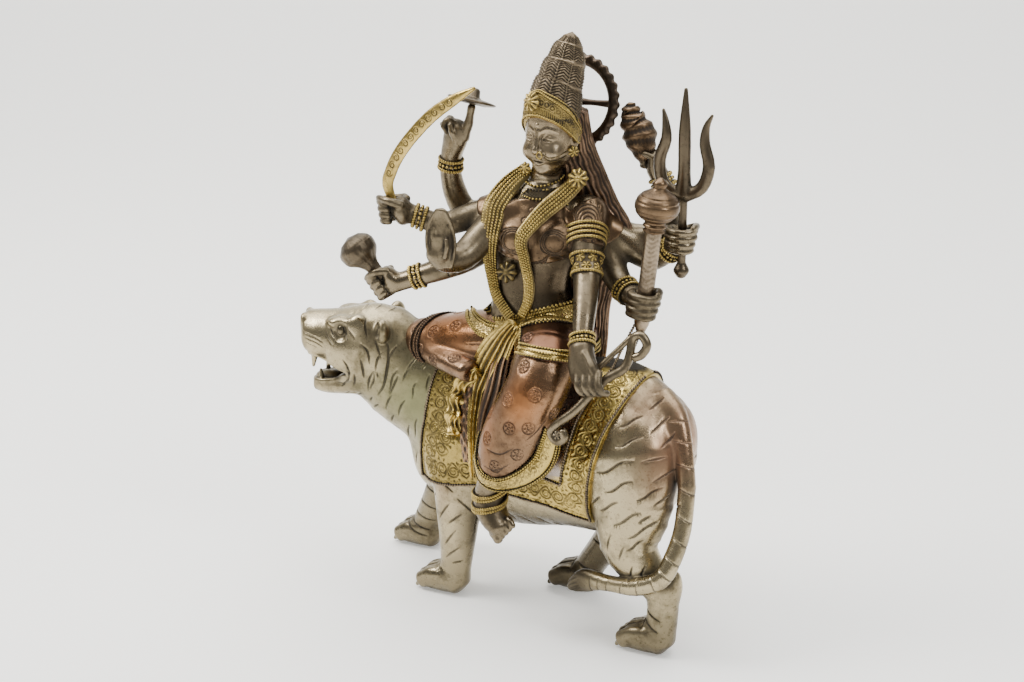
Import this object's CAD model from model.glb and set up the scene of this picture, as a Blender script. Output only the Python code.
# %% [markdown]
# # A cast goddess riding a tiger
# The real object is a brass casting about 290 mm high: a goddess with eight arms sits sideways on
# a walking tiger. Its skins are plated nickel, copper and left as brass, and a chaser has cut
# stripes, scrolls and rosettes into them. This script sculpts it the way a modeller would: rough
# forms are blended together first, then the marks of the chisel are cut, then beads and ropes of
# wire are laid on, and the metals and their patina come last.

# %% Load the fixed frame
import time
from math import acos, atan2, cos, exp, pi, radians, sin, sqrt

import bpy
import numpy as np
import openvdb
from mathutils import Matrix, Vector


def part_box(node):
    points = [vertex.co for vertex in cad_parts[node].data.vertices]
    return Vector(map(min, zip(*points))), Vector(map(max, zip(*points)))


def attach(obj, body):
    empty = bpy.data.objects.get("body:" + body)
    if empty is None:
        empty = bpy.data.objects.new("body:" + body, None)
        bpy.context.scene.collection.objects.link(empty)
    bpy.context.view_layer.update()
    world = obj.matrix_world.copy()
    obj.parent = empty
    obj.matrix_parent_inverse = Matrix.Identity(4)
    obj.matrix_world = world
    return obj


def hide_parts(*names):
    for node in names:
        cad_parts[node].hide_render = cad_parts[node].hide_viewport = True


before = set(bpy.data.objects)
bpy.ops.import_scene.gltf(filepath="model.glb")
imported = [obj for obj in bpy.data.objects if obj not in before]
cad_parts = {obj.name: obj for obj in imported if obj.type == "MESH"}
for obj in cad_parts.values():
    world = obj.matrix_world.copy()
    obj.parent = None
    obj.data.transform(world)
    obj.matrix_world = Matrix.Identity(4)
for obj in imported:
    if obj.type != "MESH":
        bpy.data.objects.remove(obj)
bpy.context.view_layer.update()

# %% [markdown]
# ## Millimetres of the figure
# A sculptor measures a figure from a plumb line through the crown, so all places below are
# millimetres from that line, with the tiger walking towards -X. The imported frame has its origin
# under the middle of the box instead. Two turned pieces show how far apart the two are: the middle
# of the halo wheel's box is its hub, and the middle of the mace's box is its axis.

# %% From the figure's millimetres to the frame's metres
MM = 0.001
HUB_X = -9.0
MACE_Y = -6.19
PAW_SOLE = 0.9


def middle(node, axis):
    low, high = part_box(node)
    return (low[axis] + high[axis]) / 2 / MM


SHIFT = np.array([middle("halo_wheel", 0) - HUB_X, middle("mace", 1) - MACE_Y, -PAW_SOLE])
print("figure to frame, mm:", SHIFT.round(3))


def metres(points):
    return (np.asarray(points, float) + SHIFT) * MM


# %% [markdown]
# ## The camera and the light
# The camera comes first, so that every piece can be checked against the view it has to match. It
# stands 34 degrees round from the front, looks 18 degrees down from about a metre away through a
# short telephoto lens, and aims at the middle of the group.

# %% Camera
CAMERA_TURN = radians(34.2)
CAMERA_TILT = radians(18.0)
CAMERA_AIM = (-32.3, 0.0, 134.4)
CAMERA_DISTANCE = 950.0
LENS = 67.5


def add_camera():
    data = bpy.data.cameras.new("camera")
    data.lens = LENS
    data.sensor_width = 36.0
    camera = bpy.data.objects.new("camera", data)
    bpy.context.scene.collection.objects.link(camera)
    back = np.array([
        sin(CAMERA_TURN) * cos(CAMERA_TILT),
        -cos(CAMERA_TURN) * cos(CAMERA_TILT),
        sin(CAMERA_TILT),
    ])
    camera.location = metres(np.array(CAMERA_AIM) + CAMERA_DISTANCE * back)
    camera.rotation_euler = (pi / 2 - CAMERA_TILT, 0.0, CAMERA_TURN)
    bpy.context.scene.camera = camera


add_camera()

# %% [markdown]
# ## Modelling in a block of numbers
# Limbs that flow into each other are hard to build face by face. It is easier to fill a block of
# space with numbers that say how far each place is from the surface. Two forms then join softly
# with a smooth minimum, a mouth is cut with a smooth maximum, and the surface is read back where
# the number is zero. The block is coarse at first and is refined for fingers and faces.

# %% Curves and blends
FAR = 1000.0
KEPT_DEPTH = 8.0


def unit(v):
    v = np.asarray(v, float)
    return v / np.linalg.norm(v, axis=-1, keepdims=True)


def curve_through(rows, steps):
    """A smooth curve through rows of numbers, with `steps` pieces between one row and the next."""
    rows = np.asarray(rows, float)
    known = np.vstack([2 * rows[0] - rows[1], rows, 2 * rows[-1] - rows[-2]])
    found = []
    for a, b, c, d in zip(known, known[1:], known[2:], known[3:]):
        for t in np.arange(steps) / steps:
            found.append(b + 0.5 * t * (c - a + t * (2 * a - 5 * b + 4 * c - d + t * (3 * (b - c) + d - a))))
    return np.array(found + [rows[-1]])


def around(count):
    """Equal angles round a circle."""
    return np.linspace(0, 2 * pi, count, endpoint=False)


def soft_min(a, b, blend):
    if blend <= 0:
        return np.minimum(a, b)
    share = np.clip(0.5 + 0.5 * (b - a) / blend, 0, 1)
    return b + (a - b) * share - blend * share * (1 - share)


# %% Forms: a limb of oval sections, and an egg
CORE = 0.04
CORE_DEPTH = 0.8
LEAST_DOME = 0.05
INNER_DOME = 0.6


def dot(place, axis):
    return place[0] * axis[0] + place[1] * axis[1] + place[2] * axis[2]


def oval_distance(inside, slope, radius):
    """Distance to an oval, from its equation and the slope of that. The very core needs no exact number."""
    reach = np.sqrt(inside)
    gap = reach * (reach - 1) / np.sqrt(slope + 1e-12)
    return np.where(inside < CORE, -CORE_DEPTH * radius, gap)


class Limb:
    """Oval sections along a curve. A row is x, y, z, half width and half depth, the width along `across`."""

    def __init__(self, rows, across=(0, 1, 0), steps=3, dome=0.7):
        rows = [list(r) + [r[3]] if len(r) == 4 else list(r) for r in rows]
        line = curve_through(rows, steps) if steps > 1 else np.array(rows, float)
        self.middle = line[:, :3]
        self.half = line[:, 3:5]
        self.dome = dome
        self.along = unit(np.gradient(self.middle, axis=0))
        across = np.asarray(across, float)
        self.side = unit(across - self.along * (self.along @ across)[:, None])
        self.rise = np.cross(self.along, self.side)

    def box(self):
        reach = self.half.max(1)[:, None] * 1.05
        return (self.middle - reach).min(0), (self.middle + reach).max(0)

    def distance(self, x, y, z):
        best = None
        last = len(self.middle) - 2
        for k in range(last + 1):
            a = self.middle[k]
            step = self.middle[k + 1] - a
            length2 = float(step @ step)
            place = (x - a[0], y - a[1], z - a[2])
            share = dot(place, step) / length2
            t = np.clip(share, 0, 1)
            spare = (share - t) * sqrt(length2)
            w, d = [self.half[k, i] + (self.half[k + 1, i] - self.half[k, i]) * t for i in (0, 1)]
            u, v = [
                dot(place, axis) - t * float(step @ axis)
                for axis in (unit(self.side[k] + self.side[k + 1]), unit(self.rise[k] + self.rise[k + 1]))
            ]
            least = np.minimum(w, d)
            end = least * max(self.dome, LEAST_DOME)
            e = least * INNER_DOME
            if k == 0:
                e = np.where(share < 0, end, e)
            if k == last:
                e = np.where(share > 1, end, e)
            u, v, s = u / w, v / d, spare / e
            slope = (u / w) ** 2 + (v / d) ** 2 + (s / e) ** 2
            gap = oval_distance(u * u + v * v + s * s, slope, least)
            best = gap if best is None else np.minimum(best, gap)
        return best.astype(np.float32)

    def point(self, share, angle, lift=0.0):
        """A place on the limb's skin, a share of the way along it and at an angle round it."""
        at = share * (len(self.middle) - 1)
        k = min(int(at), len(self.middle) - 2)
        middle, side, rise, half = [
            rows[k] * (1 - at + k) + rows[k + 1] * (at - k)
            for rows in (self.middle, self.side, self.rise, self.half)
        ]
        w, d = half + lift
        return middle + w * cos(angle) * side + d * sin(angle) * rise


def turned(yaw=0.0, pitch=0.0, roll=0.0):
    """Three axes, turned by yaw about Z, then pitch about the new Y, then roll about the new X."""
    cy, sy = cos(yaw), sin(yaw)
    cp, sp = cos(pitch), sin(pitch)
    cr, sr = cos(roll), sin(roll)
    about_z = np.array([[cy, -sy, 0], [sy, cy, 0], [0, 0, 1]])
    about_y = np.array([[cp, 0, sp], [0, 1, 0], [-sp, 0, cp]])
    about_x = np.array([[1, 0, 0], [0, cr, -sr], [0, sr, cr]])
    return (about_z @ about_y @ about_x).T


class Egg:
    """A ball with three half sizes along its own axes."""

    def __init__(self, centre, radii, axes=np.eye(3)):
        self.centre = np.asarray(centre, float)
        self.radii = np.asarray(radii, float)
        self.axes = np.asarray(axes, float)

    def box(self):
        reach = np.sqrt(((self.axes * self.radii[:, None]) ** 2).sum(0))
        return self.centre - reach, self.centre + reach

    def distance(self, x, y, z):
        place = (x - self.centre[0], y - self.centre[1], z - self.centre[2])
        shares = [dot(place, axis) / radius for axis, radius in zip(self.axes, self.radii)]
        slope = sum((share / radius) ** 2 for share, radius in zip(shares, self.radii))
        return oval_distance(sum(share * share for share in shares), slope,
                             self.radii.min()).astype(np.float32)


# %% The block itself
class Block:
    """Distances to a surface on a regular grid, in the figure's millimetres."""

    def __init__(self, low, high, step):
        self.low = np.asarray(low, float)
        self.step = step
        counts = np.ceil((np.asarray(high, float) - self.low) / step).astype(int) + 1
        self.value = np.full(counts, FAR, np.float32)

    def window(self, form, margin):
        low, high = form.box()
        first = np.maximum(np.floor((low - margin - self.low) / self.step).astype(int), 0)
        stop = np.minimum(np.ceil((high + margin - self.low) / self.step).astype(int) + 1, self.value.shape)
        x, y, z = [(self.low[a] + self.step * np.arange(first[a], stop[a])).astype(np.float32)
                   for a in range(3)]
        where = tuple(slice(first[a], max(stop[a], first[a])) for a in range(3))
        return where, (x[:, None, None], y[None, :, None], z[None, None, :])

    def add(self, form, blend=0.0):
        where, places = self.window(form, blend + 3 * self.step)
        self.value[where] = soft_min(self.value[where], form.distance(*places), blend)
        return self

    def cut(self, form, blend=0.0):
        where, places = self.window(form, blend + 3 * self.step)
        self.value[where] = -soft_min(-self.value[where], form.distance(*places), blend)
        return self

    def finer(self):
        """The same block with twice as many numbers each way."""
        value = np.clip(self.value, -KEPT_DEPTH, KEPT_DEPTH)
        for axis in range(3):
            value = np.moveaxis(value, axis, 0)
            padded = np.concatenate([value[:1], value, value[-1:]])
            between = (9 * (value[:-1] + value[1:]) - padded[:-3] - padded[3:]) / 16
            woven = np.empty((2 * len(value) - 1, *value.shape[1:]), np.float32)
            woven[::2] = value
            woven[1::2] = between
            value = np.moveaxis(woven, 0, axis)
        fine = Block(self.low, self.low, self.step / 2)
        fine.value = np.ascontiguousarray(value)
        return fine

    def part(self, low, high):
        """A copy of the numbers between two corners."""
        first = np.maximum(np.floor((np.asarray(low, float) - self.low) / self.step).astype(int), 0)
        stop = np.minimum(np.ceil((np.asarray(high, float) - self.low) / self.step).astype(int) + 1,
                          self.value.shape)
        kept = Block(self.low + self.step * first, self.low + self.step * first, self.step)
        kept.value = self.value[tuple(slice(a, b) for a, b in zip(first, stop))].copy()
        return kept

    def closed(self):
        """Puts a wall where the block ends, so that its skin has no open edge."""
        for axis in range(3):
            for end in (0, -1):
                layer = np.moveaxis(self.value, axis, 0)[end]
                np.maximum(layer, 0.5 * self.step, out=layer)
        return self

    def grown(self, by):
        """The same form pushed out by a distance. Dividing by the slope makes the numbers true distances."""
        slope = np.sqrt(sum(np.gradient(self.value, self.step, axis=axis) ** 2 for axis in range(3)))
        self.value = self.value / np.clip(slope, 0.4, 3.0) - by
        return self

    def axes(self):
        """The places of its numbers along x, y and z, each along its own axis."""
        x, y, z = [self.low[a] + self.step * np.arange(count) for a, count in enumerate(self.value.shape)]
        return x[:, None, None], y[None, :, None], z[None, None, :]

    def kept_within(self, limits, blend):
        """Cuts away what lies where the limits are above 0, with a soft edge."""
        self.value = -soft_min(-self.value, -limits.astype(np.float32), blend)
        return self

    def at(self, points):
        """The number at any place, blended from the eight around it."""
        place = (points - self.low) / self.step
        cell = np.clip(np.floor(place).astype(int), 0, np.array(self.value.shape) - 2)
        beyond = np.clip(place - cell, 0, 1)
        shares = (1 - beyond, beyond)
        total = np.zeros(len(points))
        for i, j, k in np.ndindex(2, 2, 2):
            weight = shares[i][:, 0] * shares[j][:, 1] * shares[k][:, 2]
            total += weight * self.value[cell[:, 0] + i, cell[:, 1] + j, cell[:, 2] + k]
        return total

    def slope(self, points):
        found = np.empty((len(points), 3))
        for axis in range(3):
            nudge = np.zeros(3)
            nudge[axis] = self.step
            found[:, axis] = self.at(points + nudge) - self.at(points - nudge)
        return found / (np.linalg.norm(found, axis=1, keepdims=True) + 1e-9)

    def settle(self, points, rounds=6):
        """Moves points onto the surface."""
        points = np.array(points, float)
        for _ in range(rounds):
            points -= self.slope(points) * np.clip(self.at(points), -2, 2)[:, None]
        return points

    def skin(self):
        """Points and triangles of the surface, faces outwards."""
        band = 3 * self.step
        grid = openvdb.FloatGrid(band)
        grid.copyFromArray(np.clip(self.value, -band, band))
        grid.gridClass = openvdb.GridClass.LEVEL_SET
        points, triangles, quads = grid.convertToPolygons(isovalue=0.0, adaptivity=0.0)
        quads = quads[:, ::-1]
        faces = np.vstack([quads[:, [0, 1, 2]], quads[:, [0, 2, 3]], triangles[:, ::-1].reshape(-1, 3)])
        return self.low + self.step * points.astype(float), faces.astype(int)


# %% Meshes from points and faces
def normals_of(points, faces):
    a, b, c = (points[faces[:, i]] for i in range(3))
    face = np.cross(b - a, c - a)
    total = np.zeros_like(points)
    for axis in range(3):
        for corner in range(3):
            total[:, axis] += np.bincount(faces[:, corner], face[:, axis], len(points))
    return total / (np.linalg.norm(total, axis=1, keepdims=True) + 1e-12)


def new_mesh(name, points, faces):
    """A smooth-shaded mesh, from points in the figure's millimetres and faces with as many corners each."""
    faces = np.asarray(faces)
    mesh = bpy.data.meshes.new(name)
    mesh.vertices.add(len(points))
    mesh.vertices.foreach_set("co", metres(points).astype(np.float32).ravel())
    mesh.loops.add(faces.size)
    mesh.loops.foreach_set("vertex_index", faces.astype(np.int32).ravel())
    mesh.polygons.add(len(faces))
    mesh.polygons.foreach_set("loop_start", np.arange(0, faces.size, faces.shape[1], dtype=np.int32))
    mesh.update(calc_edges=True)
    mesh.validate()
    mesh.shade_smooth()
    return mesh


def grid_faces(rows, columns, wrap=True, loop=False):
    """Two triangles for each cell of a grid of points. `wrap` closes each row, and `loop` the whole grid."""
    k, j = np.indices((rows if loop else rows - 1, columns if wrap else columns - 1)).reshape(2, -1)
    after, beside = (k + 1) % rows * columns, (j + 1) % columns
    a, b, c, d = k * columns + j, k * columns + beside, after + beside, after + j
    return np.column_stack([a, b, c, a, c, d]).reshape(-1, 3)


def fan(start, sides, tip, flip=False):
    """Triangles from a ring of points to one tip."""
    a = np.arange(sides)
    b = (a + 1) % sides
    ring = [start + b, start + a] if flip else [start + a, start + b]
    return np.column_stack([*ring, np.full(sides, tip)])


def new_object(name, mesh):
    piece = bpy.data.objects.new(name, mesh)
    bpy.context.scene.collection.objects.link(piece)
    return piece


def new_piece(name, points, faces):
    return new_object(name, new_mesh(name, points, faces))


def baked(piece):
    """Turns what an object's modifiers make into its plain mesh."""
    graph = bpy.context.evaluated_depsgraph_get()
    mesh = bpy.data.meshes.new_from_object(piece.evaluated_get(graph))
    piece.modifiers.clear()
    piece.data = mesh
    mesh.name = piece.name
    return piece


def thinned(piece, limit):
    """Leaves at most `limit` triangles, with the most where the surface bends."""
    count = len(piece.data.polygons)
    if count > limit:
        collapse = piece.modifiers.new("thin", "DECIMATE")
        collapse.ratio = limit / count
        baked(piece)
    piece.data.shade_smooth()
    return piece


def vertex_rows(piece, name):
    """A vertex property of a piece, "co" or "normal", as one row of three for each point."""
    found = np.empty(3 * len(piece.data.vertices), np.float32)
    piece.data.vertices.foreach_get(name, found)
    return found.reshape(-1, 3).astype(float)


def figure_points(piece):
    """A piece's points, back in the figure's millimetres."""
    return vertex_rows(piece, "co") / MM - SHIFT


def paint(piece, name, numbers):
    """Stores one number for each point, for the materials to read."""
    layer = piece.data.attributes.new(name, "FLOAT", "POINT")
    layer.data.foreach_set("value", np.asarray(numbers, np.float32))


def finished(piece, material, node="goddess"):
    """Hands a piece over: its metal, the body that it rides on, and the solid whose place it takes."""
    piece.data.materials.clear()
    piece.data.materials.append(material)
    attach(piece, "root")
    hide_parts(node)
    print(f"{piece.name}: {len(piece.data.polygons)} faces")
    return piece


# %% [markdown]
# ## The tiger's hide
# The tiger is one hollow casting. Its trunk, neck, skull, legs and tail are limbs of oval sections,
# which a modeller would push together in wax and smooth over with a thumb. The soft minimum is that
# thumb: a wide blend at the shoulders and haunches, a narrow one between the toes.

# %% The tiger's large forms
TRUNK = [
    (63, 0, 102, 13, 17), (55, 0, 101, 21, 25), (42, 0, 97, 26.5, 36), (22, 0, 90, 28.5, 42),
    (0, 0, 86, 29, 40.5), (-26, 0, 82, 28.5, 42), (-50, -1, 83, 26.5, 43), (-70, -3, 86, 22.5, 38),
]
NECK = [
    (-52, -1, 92, 24, 34), (-74, -6, 104, 22.5, 32), (-92, -13, 113, 20.5, 28.5), (-103, -18, 121, 18, 22),
]
LEGS = {
    "near_fore": [
        (-50, -17, 86, 13, 20), (-51, -20, 62, 10.5, 14.5), (-51, -21, 40, 9, 11), (-53, -20, 19, 7.6, 8.4),
        (-55, -20, 9, 9, 8.5),
    ],
    "far_fore": [
        (-62, 14, 80, 13, 19), (-78, 16, 54, 10, 13), (-91, 18, 31, 8.5, 9.5), (-100, 19, 16, 7.6, 7.6),
        (-104, 20, 9, 8.6, 7),
    ],
    "near_hind": [
        (42, -14, 94, 16, 25), (49, -18, 74, 14, 21), (49, -21, 55, 12, 15), (57, -21, 43, 10, 11),
        (67, -20, 33, 7.6, 8.4), (68, -20, 20, 7.2, 7.6), (66, -20, 9, 8.6, 8.4),
    ],
    "far_hind": [
        (38, 13, 90, 16, 24), (34, 16, 64, 13, 18), (25, 18, 45, 10.5, 12), (13, 19, 30, 8.2, 8.4),
        (4, 20, 17, 7.4, 7.6), (0, 20, 9, 8.4, 7.6),
    ],
}
PAWS = {"near_fore": (-60, -20), "far_fore": (-105, 20), "near_hind": (60, -20), "far_hind": (-5, 20)}
TAIL = [
    (54, -1, 122, 6, 6), (64, -4, 116, 4.8, 4.8), (71, -9, 103, 4.4, 4.4), (76, -14, 86, 4.2, 4.2),
    (77.5, -20, 67, 4.2, 4.2), (76, -27, 53, 4.4, 4.4), (72, -31, 44, 4.5, 4.5), (60, -32, 38, 4.4, 4.4),
    (46, -31, 35.5, 3.9, 3.9), (38, -30.5, 34.6, 3.9, 4.6), (31, -30, 33, 3.4, 5.8),
    (25, -30, 29.5, 2.6, 4.2), (22, -30, 27, 1.4, 1.8),
]
MUSCLES = [
    ((47, -16, 88), (20, 14, 27)), ((42, 14, 86), (19, 14, 25)), ((-51, -15, 78), (14, 13, 21)),
    ((-64, 12, 76), (13, 13, 19)), ((-76, -5, 72), (10, 14, 18)), ((30, 0, 112), (30, 14, 22)),
]

# %% The tiger's head: places are forwards, towards the near side and up from the middle of the skull
SKULL = np.array([-104.0, -20.0, 124.0])
HEAD_YAW = radians(24)
HEAD_AXES = np.array([
    [-cos(HEAD_YAW), -sin(HEAD_YAW), 0], [sin(HEAD_YAW), -cos(HEAD_YAW), 0], [0, 0, 1],
])


def on_head(forward, near, up):
    return SKULL + np.array([forward, near, up]) @ HEAD_AXES


def head_limb(rows, **options):
    return Limb([[*on_head(*row[:3]), *row[3:]] for row in rows], across=HEAD_AXES[1], **options)


def head_egg(place, radii):
    return Egg(on_head(*place), radii, HEAD_AXES)


def sculpt_head(block):
    skull = [(-12, 0, 2, 17, 19), (0, 0, 2, 19, 20.5), (11, 0, 4, 16.5, 17), (19, 0, 6, 13, 12)]
    block.add(head_limb(skull), 5)
    block.add(head_limb([(12, 0, 6, 13, 12), (24, 0, 7, 12.6, 11.2), (32.5, 0, 7, 11.2, 10.6)], dome=0.36), 3)
    block.add(head_limb([(-6, 0, -14, 14, 10), (10, 0, -18, 12.5, 7.2), (23, 0, -19.6, 10.4, 6.0),
                         (28.5, 0, -19.4, 8.4, 5.2)], dome=0.5), 4)
    for side in (-1, 1):
        block.add(head_egg((9, 11 * side, -2), (12, 7, 13)), 5)
        block.add(head_egg((26, 6 * side, 4), (8, 6.5, 8)), 4)
    block.cut(head_limb([(9, 0, -9, 24, 1.0), (18, 0, -10, 24, 4.2), (30, 0, -11, 24, 6.6),
                         (44, 0, -12, 24, 8.5)], dome=0.1), 1.5)
    block.cut(head_egg((18, 0, -13), (12, 8.5, 6)), 1)


LIP = [
    (31.5, 7.5, -3.2), (28, 10.6, -3.4), (22, 12.6, -4.6), (15, 14.8, -6.4), (9, 16, -9.4), (8, 15.6, -12),
    (12, 13.4, -14.2), (18, 11.8, -15.2), (24, 10, -16), (28.5, 7, -16.6), (31, 2.5, -16.8),
]
TEETH = [
    ((28.5, 7.2, -2), 2.2, (29.6, 7.4, -10)), ((21, 9, -3.5), 1.8, (21.4, 8.8, -8.4)),
    ((25.5, 6.6, -18), 1.8, (26, 6.4, -11.6)),
]


def carve_head(block):
    """The smaller forms, on the finer block."""
    block.add(head_egg((21, 0, -17), (9, 5, 3.2)), 1.5)
    block.add(head_egg((34.0, 0, 11), (3.0, 7.2, 5)), 2)
    for side in (-1, 1):
        edge = block.settle([on_head(f, n * side, u) for f, n, u in LIP], 3)
        block.add(Limb([(*p, 1.15) for p in edge], across=(0, 0, 1), steps=3), 1.0)
        block.add(head_egg((34.2, 4.8 * side, 14.0), (2.4, 3.3, 3.4)), 1.0)
        block.cut(head_egg((36.6, 5.0 * side, 14.0), (1.5, 1.9, 2.2)), 0.5)
        block.add(head_egg((13.5, 11.5 * side, 15.5), (7, 4.5, 3)), 3)
        block.add(head_egg((4.4, 13.6 * side, 14), (4.6, 3.6, 6.4)), 4)
        block.cut(head_egg((12.8, 16.8 * side, 12.4), (3.6, 2.9, 5.2)), 1.2)
        block.add(head_egg((12.6, 13.7 * side, 12.2), (2.3, 2.3, 3.0)), 0.3)
        ear = turned(yaw=HEAD_YAW + pi + 0.45 * side)
        block.add(Egg(on_head(-9, 16.4 * side, 13.5), (3.7, 5, 6.2), ear), 1.5)
        block.cut(Egg(on_head(-6.4, 18.4 * side, 14), (3.2, 3.0, 4.2), ear), 0.8)
        block.add(Egg(on_head(-8.6, 18 * side, 13.4), (1.6, 1.6, 2.2), ear), 0.8)
        for root, thick, tip in TEETH:
            tooth = [(f, n * side, u, w, w) for (f, n, u), w in ((root, thick), (tip, 0.7))]
            block.add(head_limb(tooth, steps=1), 0.5)
        for k in range(2):
            block.add(head_egg((30.6, (1.4 + 2.6 * k) * side, -3.6), (1.2, 1.3, 1.8)), 0.4)


# %% Paws with four toes each
TOES = (-1.5, -0.5, 0.5, 1.5)
TOE_GAP = 4.7


def sculpt_paw(block, x, y):
    paw = [(x + 8, y, 7, 7.6, 6.8), (x + 1, y, 8.4, 9.2, 8.4), (x - 6, y, 7.4, 9.6, 7.4)]
    block.add(Limb(paw, dome=0.6), 3)
    for k in TOES:
        back = 1.1 * abs(k)
        block.add(Limb([
            (x + 1 + back, y + 3.9 * k, 11.4, 3.0, 3.8), (x - 5 + back, y + TOE_GAP * k, 9.4, 3.2, 5.0),
            (x - 11.6 + back, y + TOE_GAP * k, 6.0, 3.1, 4.4),
        ], dome=0.9), 0.7)
        block.add(Limb([(x - 13.2 + back, y + TOE_GAP * k, 4.6, 1.4, 1.4),
                        (x - 14.6 + back, y + TOE_GAP * k, 2.6, 1.1, 1.1)], steps=1), 0.3)


def toe_cuts(block, x, y):
    """A groove between each two toes, and a crease across the ankle."""
    cuts = []
    for k in (-1, 0, 1):
        line = [
            (x + 1, y + 3.9 * k, 19), (x - 6, y + TOE_GAP * k, 16), (x - 12, y + TOE_GAP * k, 10),
            (x - 14, y + TOE_GAP * k, 4),
        ]
        cuts.append((block.settle(curve_through(line, 4), 8), 1.5, 0.7))
    ankle = [(x + 1, y - 10, 15), (x - 1, y - 5, 19), (x - 1, y, 20), (x - 1, y + 5, 19)]
    cuts.append((block.settle(curve_through(ankle, 4), 8), 1.2, 0.5))
    return cuts


# %% Blend the forms
COARSE = 1.2


def tiger_block():
    block = Block((-146, -52, -6), (92, 42, 156), COARSE)
    for form in (Limb(TRUNK, dome=0.5), Limb(NECK, dome=0.3)):
        block.add(form, 6)
    for centre, radii in MUSCLES:
        block.add(Egg(centre, radii), 7)
    for rows in LEGS.values():
        block.add(Limb(rows, dome=0.5), 6)
    sculpt_head(block)
    block.add(Limb(TAIL[:4], steps=4, dome=0.3), 3)
    fine = block.finer()
    fine.add(Limb(TAIL[3:], steps=4), 0.6)
    for x, y in PAWS.values():
        sculpt_paw(fine, x, y)
    carve_head(fine)
    for heel in ((74.5, -20, 38), (15.5, 20, 28)):
        fine.add(Egg(heel, (3.0, 4.2, 7)), 5)
    fine.value = np.maximum(fine.value, (PAW_SOLE - fine.axes()[2]).astype(np.float32))
    return fine


started = time.time()
tiger_form = tiger_block()
print("tiger blended in", round(time.time() - started, 1), "s")


# %% [markdown]
# ## The chisel
# A tiger's stripes are cut with a graver: each is a short furrow that starts thin, swells and runs
# out. A cut is a line of points on the surface, and every point of the skin that is closer to it
# than half its width sinks. The cuts are laid out as on the real casting, in families: down the
# neck, across the haunch, round each leg and in rings along the tail.

# %% Cuts
SIDE_REACH = 60.0


def from_side(block, line, side):
    """Drops a line drawn in side view, as x and z, onto the near (-1) or far (1) side of a block."""
    line = np.asarray(line, float)
    depths = np.arange(SIDE_REACH, -5.0, -0.5)
    x = np.repeat(line[:, 0], len(depths))
    z = np.repeat(line[:, 1], len(depths))
    y = side * np.tile(depths, len(line))
    inside = block.at(np.column_stack([x, y, z])).reshape(len(line), -1) < 0
    hit = inside.any(1)
    y = side * depths[inside.argmax(1)]
    found = np.column_stack([line[:, 0], y, line[:, 1]])[hit]
    return block.settle(found, 3) if len(found) > 1 else None


def stroke(middle, length, angle, bow=0.0, sway=0.0, points=9):
    """A short line in side view: straight, bowed, or swaying like an S."""
    t = np.linspace(-1, 1, points)
    along = np.array([cos(radians(angle)), sin(radians(angle))])
    aside = np.array([-along[1], along[0]])
    wave = bow * (1 - t * t) + sway * np.sin(pi * t)
    return np.asarray(middle) + 0.5 * length * t[:, None] * along + wave[:, None] * aside


def nearest_on_line(points, line):
    """Distance to a line of points, and how far along it the nearest place is, from 0 to 1."""
    best = np.full(len(points), FAR)
    share = np.zeros(len(points))
    lengths = np.linalg.norm(np.diff(line, axis=0), axis=1)
    before = np.concatenate([[0], np.cumsum(lengths)])
    for k, (a, b) in enumerate(zip(line, line[1:])):
        e = b - a
        t = np.clip((points - a) @ e / (e @ e + 1e-12), 0, 1)
        gap = np.linalg.norm(points - a - t[:, None] * e, axis=1)
        closer = gap < best
        best[closer] = gap[closer]
        share[closer] = (before[k] + t[closer] * lengths[k]) / before[-1]
    return best, share


def soft_step(v):
    v = np.clip(v, 0, 1)
    return v * v * (3 - 2 * v)


class Places:
    """Points sorted into small cubes, so that the ones near a line are found quickly."""

    def __init__(self, points, size=4.0):
        self.points = points
        self.size = size
        self.low = points.min(0)
        cell = np.floor((points - self.low) / size).astype(int)
        self.counts = cell.max(0) + 1
        code = (cell[:, 0] * self.counts[1] + cell[:, 1]) * self.counts[2] + cell[:, 2]
        self.order = np.argsort(code, kind="stable")
        self.codes = code[self.order]

    def within(self, low, high):
        first = np.clip(np.floor((low - self.low) / self.size).astype(int), 0, self.counts - 1)
        last = np.clip(np.floor((high - self.low) / self.size).astype(int), 0, self.counts - 1)
        found = []
        for i in range(first[0], last[0] + 1):
            for j in range(first[1], last[1] + 1):
                code = (i * self.counts[1] + j) * self.counts[2]
                start = np.searchsorted(self.codes, code + first[2], "left")
                stop = np.searchsorted(self.codes, code + last[2], "right")
                found.append(self.order[start:stop])
        near = np.concatenate(found)
        points = self.points[near]
        return near[((points > low) & (points < high)).all(1)]


def near_each(points, lines, widths=1.0, margin=0.0):
    """For each line: the points near it, their distance, how far along they lie, its width and its size."""
    places = Places(points)
    for line, width, size in lines:
        reach = widths * width + margin
        near = places.within(line.min(0) - reach, line.max(0) + reach)
        if len(near):
            yield near, *nearest_on_line(points[near], line), width, size


def cut_depth(points, cuts):
    """How far each point sinks. A cut is a line with its width and depth; its ends run out thin."""
    sunk = np.zeros(len(points))
    for near, gap, share, width, depth in near_each(points, cuts):
        swell = np.sqrt(np.clip(np.sin(pi * (0.04 + 0.92 * share)), 0, 1))
        fall = depth * swell * soft_step(1 - gap / (0.5 * width * (0.4 + 0.6 * swell)))
        sunk[near] = np.maximum(sunk[near], fall)
    return sunk


def relief(points, lines):
    """Raised lines, as if laid on with wire: each point's rise, and how dark the ground beside them is."""
    rise, shade, on_line = np.zeros((3, len(points)))
    for near, gap, _, width, height in near_each(points, lines, 1.3):
        across = gap / (0.5 * width)
        wire = np.sqrt(np.clip(1 - across ** 2, 0, 1))
        rise[near] = np.maximum(rise[near], height * wire)
        on_line[near] = np.maximum(on_line[near], wire)
        shade[near] = np.maximum(shade[near], soft_step(1 - np.abs(across - 1.35)))
    shade = shade * (1 - np.clip(on_line * 1.6, 0, 1))
    return rise - 0.15 * shade * (rise == 0), shade


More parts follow.
